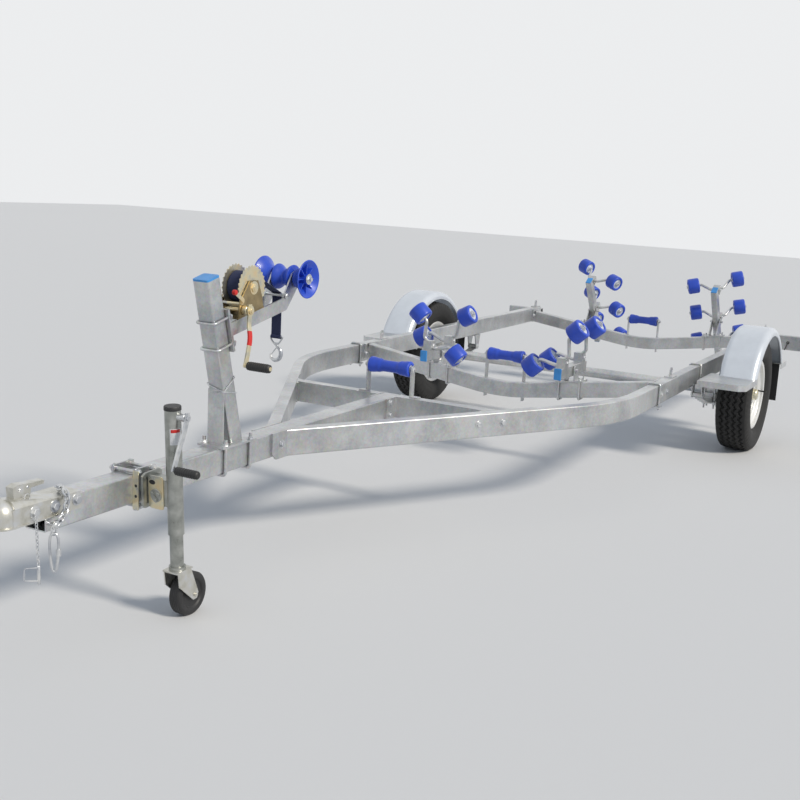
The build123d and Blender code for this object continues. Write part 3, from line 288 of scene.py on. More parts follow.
galvanised = galvanisedMaterial(galvanisedSettings)
fenderSilver = paintedSilver("fenderSilver", (0.70, 0.74, 0.79), 0.27)
wheelSilver = paintedSilver("wheelSilver", (0.82, 0.82, 0.80), 0.36)
zincPlate = zincMaterial("zincPlate", (0.50, 0.50, 0.47), (0.72, 0.66, 0.47), (0.78, 0.63, 0.38))
brightZinc = zincMaterial("brightZinc", (0.44, 0.46, 0.50), (0.62, 0.635, 0.65), (0.76, 0.76, 0.75))
couplerZinc = zincMaterial("couplerZinc", (0.50, 0.49, 0.43), (0.62, 0.61, 0.56), (0.66, 0.67, 0.68))
jackZinc = zincMaterial("jackZinc", (0.27, 0.28, 0.26), (0.36, 0.37, 0.345), (0.46, 0.465, 0.44))
# a darker, browner copy of the yellow zinc: its colours are painted shade of the winch's cheeks
cheekPaintedShade = zincMaterial("cheekPaintedShade", (0.20, 0.16, 0.10), (0.31, 0.24, 0.13), (0.40, 0.31, 0.17))
rollerBlue = moulded("rollerBlue", (0.022, 0.080, 0.58), 0.38, 300.0, 0.08, 0.08)
hubWhite = moulded("hubWhite", (0.72, 0.76, 0.82), 0.45, 300.0, 0.05)
capAzure = moulded("capAzure", (0.06, 0.33, 0.78), 0.38, 300.0, 0.05)
tyreBlack = moulded("tyreBlack", (0.014, 0.014, 0.014), 0.72, 500.0, 0.25)
gripBlack = moulded("gripBlack", (0.02, 0.02, 0.021), 0.5, 600.0, 0.15)
knobRed = moulded("knobRed", (0.62, 0.02, 0.015), 0.35, 300.0, 0.05)
stickerPale = moulded("stickerPale", (0.78, 0.79, 0.80), 0.5, 300.0, 0.02)
strapNavy = webbingMaterial((0.022, 0.032, 0.095))
print("materials made")


# Shapes: points as an n x 3 array and faces as arrays of point numbers
def gridFaces(rows, columns, closedRows=False):
    # quads (i, j), (i, j+1), (i+1, j+1), (i+1, j) of a grid of points that is closed along its columns
    i = np.arange(rows if closedRows else rows - 1)[:, None]
    j = np.arange(columns)[None, :]
    nextI, nextJ = (i + 1) % rows, (j + 1) % columns
    corners = [i * columns + j, i * columns + nextJ, nextI * columns + nextJ, nextI * columns + j]
    return np.stack(corners, -1).reshape(-1, 4)


def outward(points, faces):
    # turns all faces over where the volume they enclose, the sum of a . (b x c) / 6, comes out negative
    volume = 0.0
    for rows in faces:
        for k in range(1, rows.shape[1] - 1):
            volume += np.sum(points[rows[:, 0]] * np.cross(points[rows[:, k]], points[rows[:, k + 1]]))
    return points, faces if volume > 0 else [rows[:, ::-1] for rows in faces]


def skin(grid, closedRows=False):
    # a grid of points closed along its columns, with flat ends unless its rows close too
    rows, columns = grid.shape[:2]
    faces = [gridFaces(rows, columns, closedRows)]
    if not closedRows:
        faces += [np.arange(columns)[None, ::-1], (rows - 1) * columns + np.arange(columns)[None, :]]
    return outward(grid.reshape(-1, 3), faces)


def lathe(profile, steps, closedRows=False):
    # profile (along, radius) turned about Y: (r cos t, along, r sin t)
    along, radius = np.asarray(profile, float).T[:, :, None]
    turn = np.linspace(0, 2 * np.pi, steps, endpoint=False)
    return skin(np.stack([radius * np.cos(turn), along + 0 * turn, radius * np.sin(turn)], -1), closedRows)


def carried(path, outline, guide, closedRows=False):
    # an outline along a path: P + n N + b B, N the guide made square to the path, (n, b) the outline
    path = np.asarray(path, float)
    tangent = np.roll(path, -1, 0) - np.roll(path, 1, 0) if closedRows else np.gradient(path, axis=0)
    tangent /= np.linalg.norm(tangent, axis=1)[:, None]
    normal = np.asarray(guide, float) - (tangent @ np.asarray(guide, float))[:, None] * tangent
    normal /= np.linalg.norm(normal, axis=1)[:, None]
    other = np.cross(tangent, normal)
    n, b = np.moveaxis(np.asarray(outline, float), -1, 0)[..., None]
    return skin(path[:, None] + n * normal[:, None] + b * other[:, None], closedRows)


def hose(path, radius, sides=10, guide=(0.0, 0.0, 1.0), closedRows=False):
    # a round outline (r cos t, r sin t) carried along a path; r may change from point to point
    turn = np.linspace(0, 2 * np.pi, sides, endpoint=False)
    width = np.broadcast_to(radius, len(path))[:, None, None]
    return carried(path, width * np.stack([np.cos(turn), np.sin(turn)], -1), guide, closedRows)


def flat(thick, wide, ease=0.15):
    # outline of a flat bar, its corners eased by a share of its thinner side: lower half, then upper half
    a, b, e = thick / 2, wide / 2, min(thick, wide) * ease
    lower = [(-a, e - b), (e - a, -b), (a - e, -b), (a, e - b)]
    return lower + [(x, -y) for x, y in reversed(lower)]


def rounded(points, count):
    # a smooth line through the points: Catmull-Rom pieces with count steps each
    points = np.asarray(points, float)
    padded = np.vstack([2 * points[0] - points[1], points, 2 * points[-1] - points[-2]])
    t = np.linspace(0, 1, count, endpoint=False)[None, :, None]
    a, b, c, d = (padded[k:len(padded) - 3 + k, None] for k in range(4))
    squared = (2 * a - 5 * b + 4 * c - d) * t ** 2
    cubed = (3 * b - a - 3 * c + d) * t ** 3
    run = 0.5 * (2 * b + (c - a) * t + squared + cubed)
    return np.vstack([run.reshape(-1, points.shape[1]), points[-1]])


def slab(outline, low, high, bevel):
    # an outline in x and z given thickness along Y, its edges eased towards its middle
    outline = np.asarray(outline, float)
    middle = outline.mean(0)
    inset = outline + (middle - outline) * (bevel / np.linalg.norm(outline - middle, axis=1))[:, None]
    levels = [(inset, low), (outline, low + bevel), (outline, high - bevel), (inset, high)]
    grid = np.stack([np.stack([ring[:, 0], np.full(len(ring), y), ring[:, 1]], -1) for ring, y in levels])
    return skin(grid)


def bothEnds(side):
    # a profile (along, radius) from one end's points, which come again mirrored at the other end
    side = np.asarray(side, float)
    return np.vstack([side, (side * (-1, 1))[::-1]])


# Bolts: shares of the radius at the hexagon's corners, and the washer's thickness in mm
boltSettings = {"washer": 1.45, "washerThick": 1.5, "top": 0.86, "thread": 0.55, "threadOut": 0.6}


def hexagon(size, height):
    # bolt head or nut on its washer, standing on the plane y = 0 and looking along +Y
    under, wide = boltSettings["washerThick"], boltSettings["washer"] * size
    head = lathe([(under, size), (height - 1, size), (height, boltSettings["top"] * size)], 6)
    return [head, lathe([(0, wide), (under, wide)], 20)]


def nutOnThread(size, height, thread):
    # a nut on its washer with the bolt's end standing out of it
    end = boltSettings["thread"] * size
    return hexagon(size, height) + [lathe([(height - 1, end), (height + thread, end)], 12)]


def framed(origin, along, guide=(0.0, 0.0, 1.0)):
    # origin and axes of a frame whose Y is the given direction and whose Z is near the guide
    y = np.asarray(along, float) / np.linalg.norm(along)
    guide = np.asarray(guide, float)
    if abs(guide @ y) > 0.95:
        guide = np.array([1.0, 0.0, 0.0])
    z = guide - (guide @ y) * y
    z /= np.linalg.norm(z)
    return np.asarray(origin, float), np.stack([np.cross(y, z), y, z])


def placed(shapes, frameOf):
    # each shape in a frame: origin + x X + y Y + z Z
    origin, axes = frameOf
    return [(origin + points @ axes, faces) for points, faces in shapes]


# The level drawing's slope in the row, nose down, and the height of the wheels' middle in mm
tilt = math.radians(0.95)
wheelHeight = 323.0


def toRow(points):
    # level drawing in mm, x from the axle, to the row in metres: turned nose down about the axle
    x, y, z = np.asarray(points, float).T
    z = z - wheelHeight
    turnedX = x * math.cos(tilt) + z * math.sin(tilt)
    turnedZ = z * math.cos(tilt) - x * math.sin(tilt) + wheelHeight
    return np.stack([turnedX / 1000 + axleX, y / 1000, turnedZ / 1000], -1)


def level(*finishes):
    # finishes are (shapes, material), here drawn in the level drawing
    return [([(toRow(points), faces) for points, faces in shapes], material)
            for shapes, material in finishes]


def inRow(frameOf, *finishes):
    # finishes drawn in mm in a frame of the row, brought to metres
    origin, axes = frameOf
    return [([((origin + points @ axes) / 1000, faces) for points, faces in shapes], material)
            for shapes, material in finishes]


def mirrored(shapes):
    # the same on the other side of the centre line
    return [(points * (1, -1, 1), [rows[:, ::-1] for rows in faces]) for points, faces in shapes]


def addPiece(name, body, finishes, sharp, replaces=()):
    # one mesh of shapes in the row's metres; finishes are (shapes, material), sharp the angle of a hard edge
    points, faces, numbers, start = [], [], [], 0
    mesh = bpy.data.meshes.new(name)
    for number, (shapes, material) in enumerate(finishes):
        mesh.materials.append(material)
        for shapePoints, shapeFaces in shapes:
            points.append(shapePoints)
            for rows in shapeFaces:
                faces += (rows + start).tolist()
                numbers.append(np.full(len(rows), number))
            start += len(shapePoints)
    mesh.from_pydata(np.concatenate(points).tolist(), [], faces)
    mesh.polygons.foreach_set("material_index", np.concatenate(numbers).astype(np.int32))
    mesh.shade_smooth()
    mesh.set_sharp_from_angle(angle=math.radians(sharp))
    piece = bpy.data.objects.new(name, mesh)
    bpy.context.scene.collection.objects.link(piece)
    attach(piece, body)
    if replaces:
        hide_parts(*replaces)


def aboutJoint(name):
    # frame of a joint in mm: its place and its axis
    joint = joints[name]
    return framed(1000 * np.array(joint["pos_m"]), joint["axis"])


def leaned(place, degrees):
    # frame of a part that stands at a slope: a place in the level drawing, turned about Y
    turn = tilt + math.radians(degrees)
    axes = [(math.cos(turn), 0, -math.sin(turn)), (0, 1, 0), (math.sin(turn), 0, math.cos(turn))]
    return 1000 * toRow([place])[0], np.array(axes)


forward, left, up = np.eye(3)
right, down = -left, -up


def headShapes(places, way, size, height):
    # hexagon heads on washers, all looking one way; size is the radius at the corners
    return [shape for place in places for shape in placed(hexagon(size, height), framed(place, way))]


def nutShapes(places, way, size, height):
    # the same with the bolt's end standing out of the nut
    nut = nutOnThread(size, height, boltSettings["threadOut"] * size)
    return [shape for place in places for shape in placed(nut, framed(place, way))]


def weldBead(start, end, radius):
    # ripples r (1 + 0.22 sin(2 pi u / 5)) on a line that sways 1.2 sin(2 pi u / 9) to its sides
    start, end = np.array(start, float), np.array(end, float)
    length = np.linalg.norm(end - start)
    u = np.linspace(0, length, int(length / 1.1))
    origin, axes = framed(start, end - start)
    path = origin + u[:, None] * axes[1] + 1.2 * np.sin(2 * np.pi * u / 9)[:, None] * axes[0]
    return hose(path, radius * (1 + 0.22 * np.sin(2 * np.pi * u / 5)), 8, axes[2])


def ovalLoop(centre, along, across, long, wide, wire, steps=20, sides=8):
    # a closed wire: C + long/2 cos t A + wide/2 sin t B
    t = np.linspace(0, 2 * np.pi, steps, endpoint=False)[:, None]
    path = centre + 0.5 * long * np.cos(t) * along + 0.5 * wide * np.sin(t) * across
    return hose(path, wire, sides, np.cross(along, across), closedRows=True)


def chainShapes(route, size, wire):
    # oval links spaced evenly along a route, each a quarter turn on from the last
    route = np.asarray(route, float)
    run = np.concatenate([[0], np.cumsum(np.linalg.norm(np.diff(route, axis=0), axis=1))])
    count = round(run[-1] / (size - 2.6 * wire))
    links = []
    for number in range(count):
        spots = run[-1] * (number + np.array([0.5, 0.9])) / count
        here, ahead = np.stack([np.interp(spots, run, axis) for axis in route.T], -1)
        origin, axes = framed(here, ahead - here, forward)
        links.append(ovalLoop(origin, axes[1], axes[2 - 2 * (number % 2)], size, 0.64 * size, wire, 16, 7))
    return links


def ribbedGrip(low, high, radius, ribs):
    # r (1 - 0.3 |2u - 1|^14) less a groove 1.1 cos(pi ribs u)^2 at each rib
    u = np.linspace(0, 1, 8 * ribs + 1)
    r = radius * (1 - 0.3 * np.abs(2 * u - 1) ** 14) - 1.1 * np.cos(np.pi * ribs * u) ** 2
    return lathe(np.stack([low + (high - low) * u, r], -1), 28)


# Tyres: smooth sidewalls, four zigzag grooves and short cuts in the tread
tyreSettings = {"radius": wheelHeight, "half": 92.5, "bead": 64.65, "beadRadius": 180.4, "flange": 197.0,
                "columns": 384, "zigzags": 48, "grooves": (-0.54, -0.18, 0.18, 0.54), "grooveWide": 5.0,
                "grooveDeep": 9.0, "sway": 8.0, "edgeCuts": 60, "cutShare": 0.3, "edgeDeep": 4.0,
                "ribHigh": 0.9}


def tyreSkin(s):
    # a closed profile turned about the axle: grooves and cuts take from its radius, ribs add to its sides
    r, half, bead, flange = s["radius"], s["half"], s["bead"], s["flange"]
    side = rounded([(bead, s["beadRadius"]), (bead + 1, flange), (0.79 * half, flange + 9),
                    (0.93 * half, r - 100), (0.985 * half, r - 78), (half, r - 58), (0.985 * half, r - 42),
                    (0.95 * half, r - 26), (0.90 * half, r - 15), (0.83 * half, r - 7.5)], 5)
    across = np.linspace(0.81, -0.81, 91) * half
    crown = np.stack([across, r - 7.5 * (np.abs(across) / (0.82 * half)) ** 2.6], -1)
    wall = [(bead - 13, flange + 16), (0.84 * half, r - 70), (0.7 * half, r - 26)]
    inner = rounded([(-a, b) for a, b in wall] + [(0, r - 17)] + wall[::-1], 4)
    profile = np.vstack([side, crown, (side * (-1, 1))[::-1], inner])
    along, radius = profile.T[:, :, None]
    turn = np.linspace(0, 2 * np.pi, s["columns"], endpoint=False)
    wave = np.abs((turn * s["zigzags"] / (2 * np.pi)) % 1 * 2 - 1) * 2 - 1
    depth = np.zeros((len(profile), s["columns"]))
    for place in s["grooves"]:
        off = np.abs(along - place * half - s["sway"] * wave)
        depth = np.maximum(depth, np.clip((s["grooveWide"] + 1.2 - off) / 1.6, 0, 1) * s["grooveDeep"])
    within = (turn * s["edgeCuts"] / (2 * np.pi)) % 1 < s["cutShare"]
    cuts = within & (np.abs(along) > 0.86 * half) & (radius > r - 42)
    depth = np.maximum(depth, cuts * s["edgeDeep"] * np.clip((radius - r + 42) / 20, 0, 1))
    ribs = sum(s["ribHigh"] * np.exp(-((radius - place) / wide) ** 2)
               for place, wide in ((r - 88, 1.6), (flange + 16, 1.8)))
    outer = np.arange(len(profile))[:, None] < len(profile) - len(inner)
    radius = radius - depth * outer
    along = along + np.sign(along) * ribs * outer + 0 * turn
    return skin(np.stack([radius * np.cos(turn), along, radius * np.sin(turn)], -1), closedRows=True)


# Rims: a turned barrel, a dished disc with round hand holes, nuts on five studs, a cap and a valve
rimSettings = {"flange": 195.0, "seat": 180.0, "half": 69.0, "well": 156.0, "under": 151.0, "holes": 10,
               "ring": 119.0, "hole": 14.0, "inside": 84.0, "thick": 4.5, "studs": 5, "studRing": 57.0,
               "studFoot": 15.0, "nut": (11.0, 15.0, 5.0), "stem": 4.5, "stemCap": 5.5}


def rimDisc(s):
    # per hand hole a cell between the hole's circle and the ring's edges: (1 - v) circle(u) + v edge(u)
    steps = 24
    u = np.linspace(0, 2 * np.pi, 4 * steps, endpoint=False)
    reach = 1 / np.maximum(np.abs(np.cos(u)), np.abs(np.sin(u)))
    v = np.linspace(0, 1, 7)[:, None]
    halfAngle = np.pi / s["holes"]
    inner, outer = s["inside"], s["under"] + 2
    squareR = np.where(np.cos(u) * reach > 0, s["ring"] + (outer - s["ring"]) * np.cos(u) * reach,
                       s["ring"] + (s["ring"] - inner) * np.cos(u) * reach)
    squareA = halfAngle * np.sin(u) * reach
    radial = (1 - v) * (s["ring"] + s["hole"] * np.cos(u)) + v * squareR
    angle = (1 - v) * (s["hole"] * np.sin(u) / s["ring"]) + v * squareA
    dish = [(inner, 15), (95, 24), (108, 31), (119, 32), (132, 29), (145, 20), (outer, 10)]
    front = np.interp(radial, *np.array(dish, float).T)
    cells = []
    for number in range(s["holes"]):
        turn = angle + 2 * np.pi * number / s["holes"]
        x, z = radial * np.cos(turn), radial * np.sin(turn)
        face = np.stack([x, front, z], -1)
        back = np.stack([x, front - s["thick"], z], -1)
        cells.append(skin(np.concatenate([back[::-1], face]), closedRows=True))
    return cells


def rimSkins(s):
    # the barrel's outside and underside as one closed profile, a raised hub, a cap and a nut on each stud
    half, flange, seat, well, under = (s[key] for key in ("half", "flange", "seat", "well", "under"))
    outside = rounded([(-half, flange), (-half + 4, flange - 4), (-half + 6, seat + 1),
                       (-half + 20, seat - 2), (-half + 32, well + 2), (-half + 38, well)], 4)
    inside = rounded([(half - 2, flange + 1), (half + 1, flange - 3), (half - 1, seat - 3),
                      (half - 16, seat - 6), (half - 28, under + 3), (half - 36, under)], 4)
    barrel = lathe(np.vstack([bothEnds(outside), bothEnds(inside)]), 96, closedRows=True)
    shoulder = rounded([(15, 88), (15, 46), (22, 43), (46, 41), (48, 38)], 3)
    hub = lathe(np.vstack([shoulder, [(48, 21), (10, 21), (10, 88)]]), 64, closedRows=True)
    cap = lathe(rounded([(44, 31), (62, 31), (70, 28), (74, 20), (75, 1)], 4), 40)
    studs = []
    for number in range(s["studs"]):
        turn = 2 * np.pi * number / s["studs"]
        spot = (s["studRing"] * np.cos(turn), s["studFoot"], s["studRing"] * np.sin(turn))
        studs += placed(nutOnThread(*s["nut"]), framed(spot, left))
    return [barrel, hub] + rimDisc(s), [cap] + studs


def valve(s):
    # a bent rubber stem that stands out of the barrel, and its cap
    stem = hose([(-160, 42, 0), (-156, 54, 0), (-152, 66, 0), (-150, 80, 0)], s["stem"], 12)
    return [stem, hose([(-150.2, 78, 0), (-148.5, 92, 0)], s["stemCap"], 12)]


wheelShapes = [[tyreSkin(tyreSettings)], *rimSkins(rimSettings), valve(rimSettings)]
for side in ("left", "right"):
    wheelFrame = (aboutJoint("wheel_spin_" + side)[0], np.eye(3))
    tread, rim, fittings, stem = wheelShapes if side == "left" else map(mirrored, wheelShapes)
    body = "wheel_" + side
    finishes = inRow(wheelFrame, (tread, tyreBlack))
    addPiece("tyre_" + side + "_tread", body, finishes, 38, ["tyre_" + side])
    finishes = inRow(wheelFrame, (rim, wheelSilver), (fittings, zincPlate), (stem, gripBlack))
    addPiece("rim_" + side + "_dished", body, finishes, 35, ["rim_" + side])
print("wheels made")


# Rollers: blue drums with rounded edges, white hub discs sunk in their ends and a bolt in each hub
rollerSettings = {"radius": 52.0, "half": 38.0, "spacing": 296.0, "hub": 33.0, "bore": 9.0, "head": (13, 7)}


def drumSkins(s):
    # two closed profiles turned about the axis: the drum, and the disc with its raised middle at both ends
    r, half, hub = s["radius"], s["half"], s["hub"]
    rim = rounded([(half - 5, hub), (half - 1, hub + 2), (half, hub + 6), (half - 0.6, r - 6),
                   (half - 4, r - 1.6), (half - 11, r)], 4)
    disc = [(half - 6, hub + 0.5), (half - 6, 26), (half - 8, 24), (half - 8, 18), (half - 2, 16),
            (half - 2, s["bore"])]
    return lathe(bothEnds(rim), 64, closedRows=True), lathe(bothEnds(disc), 40, closedRows=True)


drum, hubDisc = drumSkins(rollerSettings)
rollerBolt = headShapes([(0, rollerSettings["half"] - 2, 0)], left, *rollerSettings["head"])
for name, joint in joints.items():
    if name.startswith("rollers_spin_"):
        blue, white, steel = [], [], []
        for end in (-1, 1):
            shift = (0.5 * end * rollerSettings["spacing"] * left, np.eye(3))
            blue += placed([drum], shift)
            white += placed([hubDisc], shift)
            steel += placed(rollerBolt if end > 0 else mirrored(rollerBolt), shift)
        body = joint["child"]
        bodyNodes = frame["record"]["behaviour"]["bodies"][body]
        finishes = inRow(aboutJoint(name), (blue, rollerBlue), (white, hubWhite), (steel, brightZinc))
        addPiece(body + "_drums", body, finishes, 40, bodyNodes)
print("rollers made")


# Keel rollers: blue, waisted, with white hubs
keelSettings = {"half": 100.0, "radius": 34.0, "waist": 25.0, "hub": 17.0, "bore": 8.0}


def keelSkins(s):
    # a closed profile that runs in from the hub to the waist and out again, and a disc at both ends
    half, r, hub, waist = s["half"], s["radius"], s["hub"], s["waist"]
    side = rounded([(half - 4, hub), (half - 0.5, hub + 3), (half, r - 8), (half - 1.5, r - 3),
                    (half - 6, r), (half - 20, r - 0.6), (half - 36, r - 3), (half - 50, waist + 5),
                    (half - 66, waist + 0.6), (0, waist)], 4)
    profile = np.vstack([side, (side * (-1, 1))[::-1][1:]])
    disc = bothEnds([(half - 5, hub + 0.5), (half - 3, hub), (half - 3, s["bore"])])
    return lathe(profile, 56, closedRows=True), lathe(disc, 40, closedRows=True)


keelBody, keelHub = keelSkins(keelSettings)
for place in ("front", "middle", "rear"):
    body = "keel_roller_" + place
    finishes = inRow(aboutJoint("keel_spin_" + place), ([keelBody], rollerBlue), ([keelHub], hubWhite))
    addPiece(body + "_waisted", body, finishes, 40, [body])


# Bow roller: a double cone between the cheeks and a bell on each side, its open cup ribbed inside
bowSettings = {"core": 36.0, "start": 48.0, "end": 98.0, "lip": 69.0, "ribs": 8, "ribHalf": 1.5}


def bowSkins(s):
    # the cone's and the bell's profiles turned about the axis, flat ribs in planes through the axis
    core, start, end, lip = s["core"], s["start"], s["end"], s["lip"]
    cone = [(-core, 30), (-core + 1, 44), (-core + 4, 46), (-core + 11, 44)]
    cone = rounded(cone + [(0, 29)] + [(-a, b) for a, b in reversed(cone)], 5)
    bell = rounded([(start, 12), (start, 30), (start + 3, 34), (start + 15, 38), (start + 31, 50),
                    (end - 4, lip - 1.5), (end, lip - 0.6), (end - 0.5, lip - 5), (start + 34, 44),
                    (start + 25, 34), (start + 21, 24), (start + 25, 18), (end - 4, 17), (end - 2, 12)], 5)
    outline = [(start + 20, 15), (end - 10, 15), (end - 8, lip - 9), (start + 33, 46), (start + 24, 34)]
    plate = slab([(b, a) for a, b in outline], -s["ribHalf"], s["ribHalf"], 0.4)
    ribs = []
    for number in range(s["ribs"]):
        turn = 2 * np.pi * number / s["ribs"]
        axes = np.array([(np.cos(turn), 0, np.sin(turn)), (-np.sin(turn), 0, np.cos(turn)), left])
        ribs += [outward(points, faces) for points, faces in placed([plate], (0, axes))]
    return [lathe(cone, 56)], [lathe(bell, 64)] + ribs


core, bell = bowSkins(bowSettings)
finishes = inRow(aboutJoint("bow_spin"), (core + bell + mirrored(bell), rollerBlue))
addPiece("bow_roller_ribbed", "bow_roller", finishes, 40, ["bow_roller"])


# Caster wheel: black, ribbed tread, dished sides and a pale hub
casterSettings = {"radius": 70.0, "half": 22.0, "hub": 17.0, "bore": 6.0, "grooveDeep": 1.2,
                  "grooveStep": 7.5}


def casterSkins(s):
    # a closed profile with grooves round its tread, and a hub through it
    r, half, hub = s["radius"], s["half"], s["hub"]
    side = rounded([(half - 4, hub), (half - 6, hub + 8), (half - 7, r - 28), (half - 2, r - 22),
                    (half - 0.5, r - 14), (half - 2, r - 5), (half - 6, r - 0.8)], 4)
    across = np.linspace(half - 7, -half + 7, 29)
    wave = 0.5 - 0.5 * np.cos(across * 2 * np.pi / s["grooveStep"])
    crown = np.stack([across, r - s["grooveDeep"] * wave], -1)
    wheel = np.vstack([side, crown, (side * (-1, 1))[::-1]])
    sleeve = bothEnds([(half + 1, hub - 1), (half + 1, s["bore"])])
    return [lathe(wheel, 72, closedRows=True)], [lathe(sleeve, 32, closedRows=True)]


wheel, sleeve = casterSkins(casterSettings)
finishes = inRow(aboutJoint("jack_wheel_spin"), (wheel, gripBlack), (sleeve, zincPlate))
addPiece("caster_wheel_ribbed", "jack_wheel", finishes, 40, ["caster_wheel"])
print("centre rollers made")


# Bolts and nuts of the frame: the left side's come again mirrored, those of the cradles' stands don't
fastenerSettings = {"drawbar": [(3212, 48, 470), (2405, 48, 500), (2405, 48, 446)],
                    "endPlate": [(2434, 479, 474), (2329, 539.6, 474)], "railTurn": 30,
                    "coupler": [(4393, 45, 500), (4319, 45, 500), (4235, 45, 500)],
                    "postFoot": [(3405, 46.5, 526), (3545, 46.5, 526)],
                    "bowPin": (3149, 98.8, 1073), "tie": (3209, 47.2, 1014),
                    "beamFlanges": (1163, 1067, -1292, -1388), "railSides": (868, 810), "flangeHigh": 466,
                    "hoops": (435, 1215), "hoopSides": (812.5, 873.5), "hoopEnds": 412,
                    "axleHoops": (-35.5, 35.5), "axleSides": (815, 871), "axleEnds": 244,
                    "springEyes": (-328, 328), "eyeSides": (872.5, 813.5), "eyeHigh": 336.7,
                    "keelPins": [(2332, 111, 640), (1074, 111, 541), (-1381, 111, 508)],
                    "jackClamp": [(3914, 48, 526), (3982, 48, 526), (3914, 48, 420), (3982, 48, 420)],
                    "weld": [(3164, 51, 424), (3164, 51, 514)], "weldRadius": 4.0,
                    "stands": [(1115, 330, 457.0), (1115, 440, 472.4), (1115, -420, 469.6),
                               (1115, -310, 454.2), (-1340, 455, 453.5), (-1340, 565, 469.0),
                               (-1340, -440, 451.4), (-1340, -330, 436.0)], "standHalf": 31.5}


def leftFasteners(s):
    # heads on the outer faces, the beam flanges' nuts inside the rails, the hoops' nuts underneath
    turn = math.radians(s["railTurn"])
    shapes = headShapes(s["drawbar"], left, 11, 8) + headShapes(s["coupler"], left, 12.5, 10)
    shapes += headShapes(s["endPlate"], math.sin(turn) * forward + math.cos(turn) * left, 11, 8)
    shapes += nutShapes(s["postFoot"], up, 10, 9) + nutShapes(s["jackClamp"], left, 10, 9)
    shapes += nutShapes([s["bowPin"]], left, 13, 5) + nutShapes([s["tie"]], left, 9, 5)
    shapes += headShapes(s["keelPins"], left, 13, 7)
    outer, inner = s["railSides"]
    shapes += headShapes([(x, outer, s["flangeHigh"]) for x in s["beamFlanges"]], left, 11, 8)
    shapes += nutShapes([(x, inner, s["flangeHigh"]) for x in s["beamFlanges"]], right, 10, 9)
    shapes += nutShapes([(x, y, s["hoopEnds"]) for x in s["hoops"] for y in s["hoopSides"]], down, 9, 8)
    shapes += nutShapes([(x, y, s["axleEnds"]) for x in s["axleHoops"] for y in s["axleSides"]], down, 9, 9)
    outer, inner = s["eyeSides"]
    shapes += headShapes([(x, outer, s["eyeHigh"]) for x in s["springEyes"]], left, 13, 6)
    shapes += headShapes([(x, inner, s["eyeHigh"]) for x in s["springEyes"]], right, 13, 6)
    return shapes + [weldBead(*s["weld"], s["weldRadius"])]


def standFasteners(s):
    # a nut before and behind each stand's middle line
    half = s["standHalf"]
    return nutShapes([(x + side, y, z) for x, y, z in s["stands"] for side in (-half, half)], up, 9, 8)


# Coupler latch: two rivets and a ring; beside it a pin hangs on a light chain, with its wire loop
latchSettings = {"rivets": [(4417, 14, 563), (4390, 14, 566)], "ring": (4397, 20, 539), "ringSize": 20,
                 "wire": 1.3, "link": 13, "chain": [(4398, 54, 492), (4392, 54, 344)], "loopWire": 1.9,
                 "loop": [(4391, 54, 341), (4438, 54, 352), (4443, 54, 349), (4445, 54, 321),
                          (4441, 54, 317), (4392, 54, 302)], "pin": (4391, 54, 319), "pinHalf": 28}


def latchShapes(s):
    # domed rivets, a closed ring, small oval links, a bent wire and a pin with eased ends
    shapes = []
    for place in s["rivets"]:
        shapes += placed([lathe([(0, 4.5), (1.2, 4.2), (2.2, 3.0), (2.6, 0.6)], 16)], framed(place, left))
    shapes.append(ovalLoop(np.array(s["ring"]), forward, up, s["ringSize"], s["ringSize"], s["wire"]))
    shapes += chainShapes(s["chain"], s["link"], s["wire"])
    shapes.append(hose(s["loop"], s["loopWire"], 8, left))
    half = s["pinHalf"]
    pin = lathe([(-half, 3.5), (2 - half, 4.6), (half - 2, 4.6), (half, 3.5)], 16)
    return shapes + placed([pin], framed(s["pin"], up))


bothSides = leftFasteners(fastenerSettings)
oneSide = standFasteners(fastenerSettings) + latchShapes(latchSettings)
addPiece("frame_bolts", "chassis", level((bothSides + mirrored(bothSides) + oneSide, brightZinc)), 30)


# Rolled bead along each fender's outer edge
beadSettings = {"arc": 386.5, "y": 1153.5, "z": 281.0, "wire": 4.2, "from": 29.5, "to": 150.5}


def fenderBead(s):
    # a wire along an arc (r cos a, y, z + r sin a) about a point below the axle
    turn = np.radians(np.linspace(s["from"], s["to"], 72))
    arc = np.stack([s["arc"] * np.cos(turn), s["y"] + 0 * turn, s["z"] + s["arc"] * np.sin(turn)], -1)
    return [hose(arc, s["wire"], 10, left)]


bead = fenderBead(beadSettings)
addPiece("fender_beads", "chassis", level((bead + mirrored(bead), fenderSilver)), 40)


# Safety chain: from a bolt on the coupler's top round its near edge to a bolt below, a snap link under it
chainSettings = {"size": 28.0, "wire": 3.0, "bolt": (4338, 40, 453), "topBolt": (4262, 4, 523),
                 "boltRadius": 5.0, "boltOut": 27, "topBoltOut": 13,
                 "route": [(4262, 6, 530), (4274, 24, 535), (4281, 46, 534), (4287, 59, 519),
                           (4293, 63, 500), (4304, 63, 474), (4321, 62, 459), (4338, 61, 452)],
                 "snap": (4340, 61, 372), "snapLong": 112.0, "snapWide": 23.0, "snapWire": 4.0,
                 "snapAcross": (-0.6, 0.8, 0), "lastLinkUp": 66, "lastLinkWide": 18}


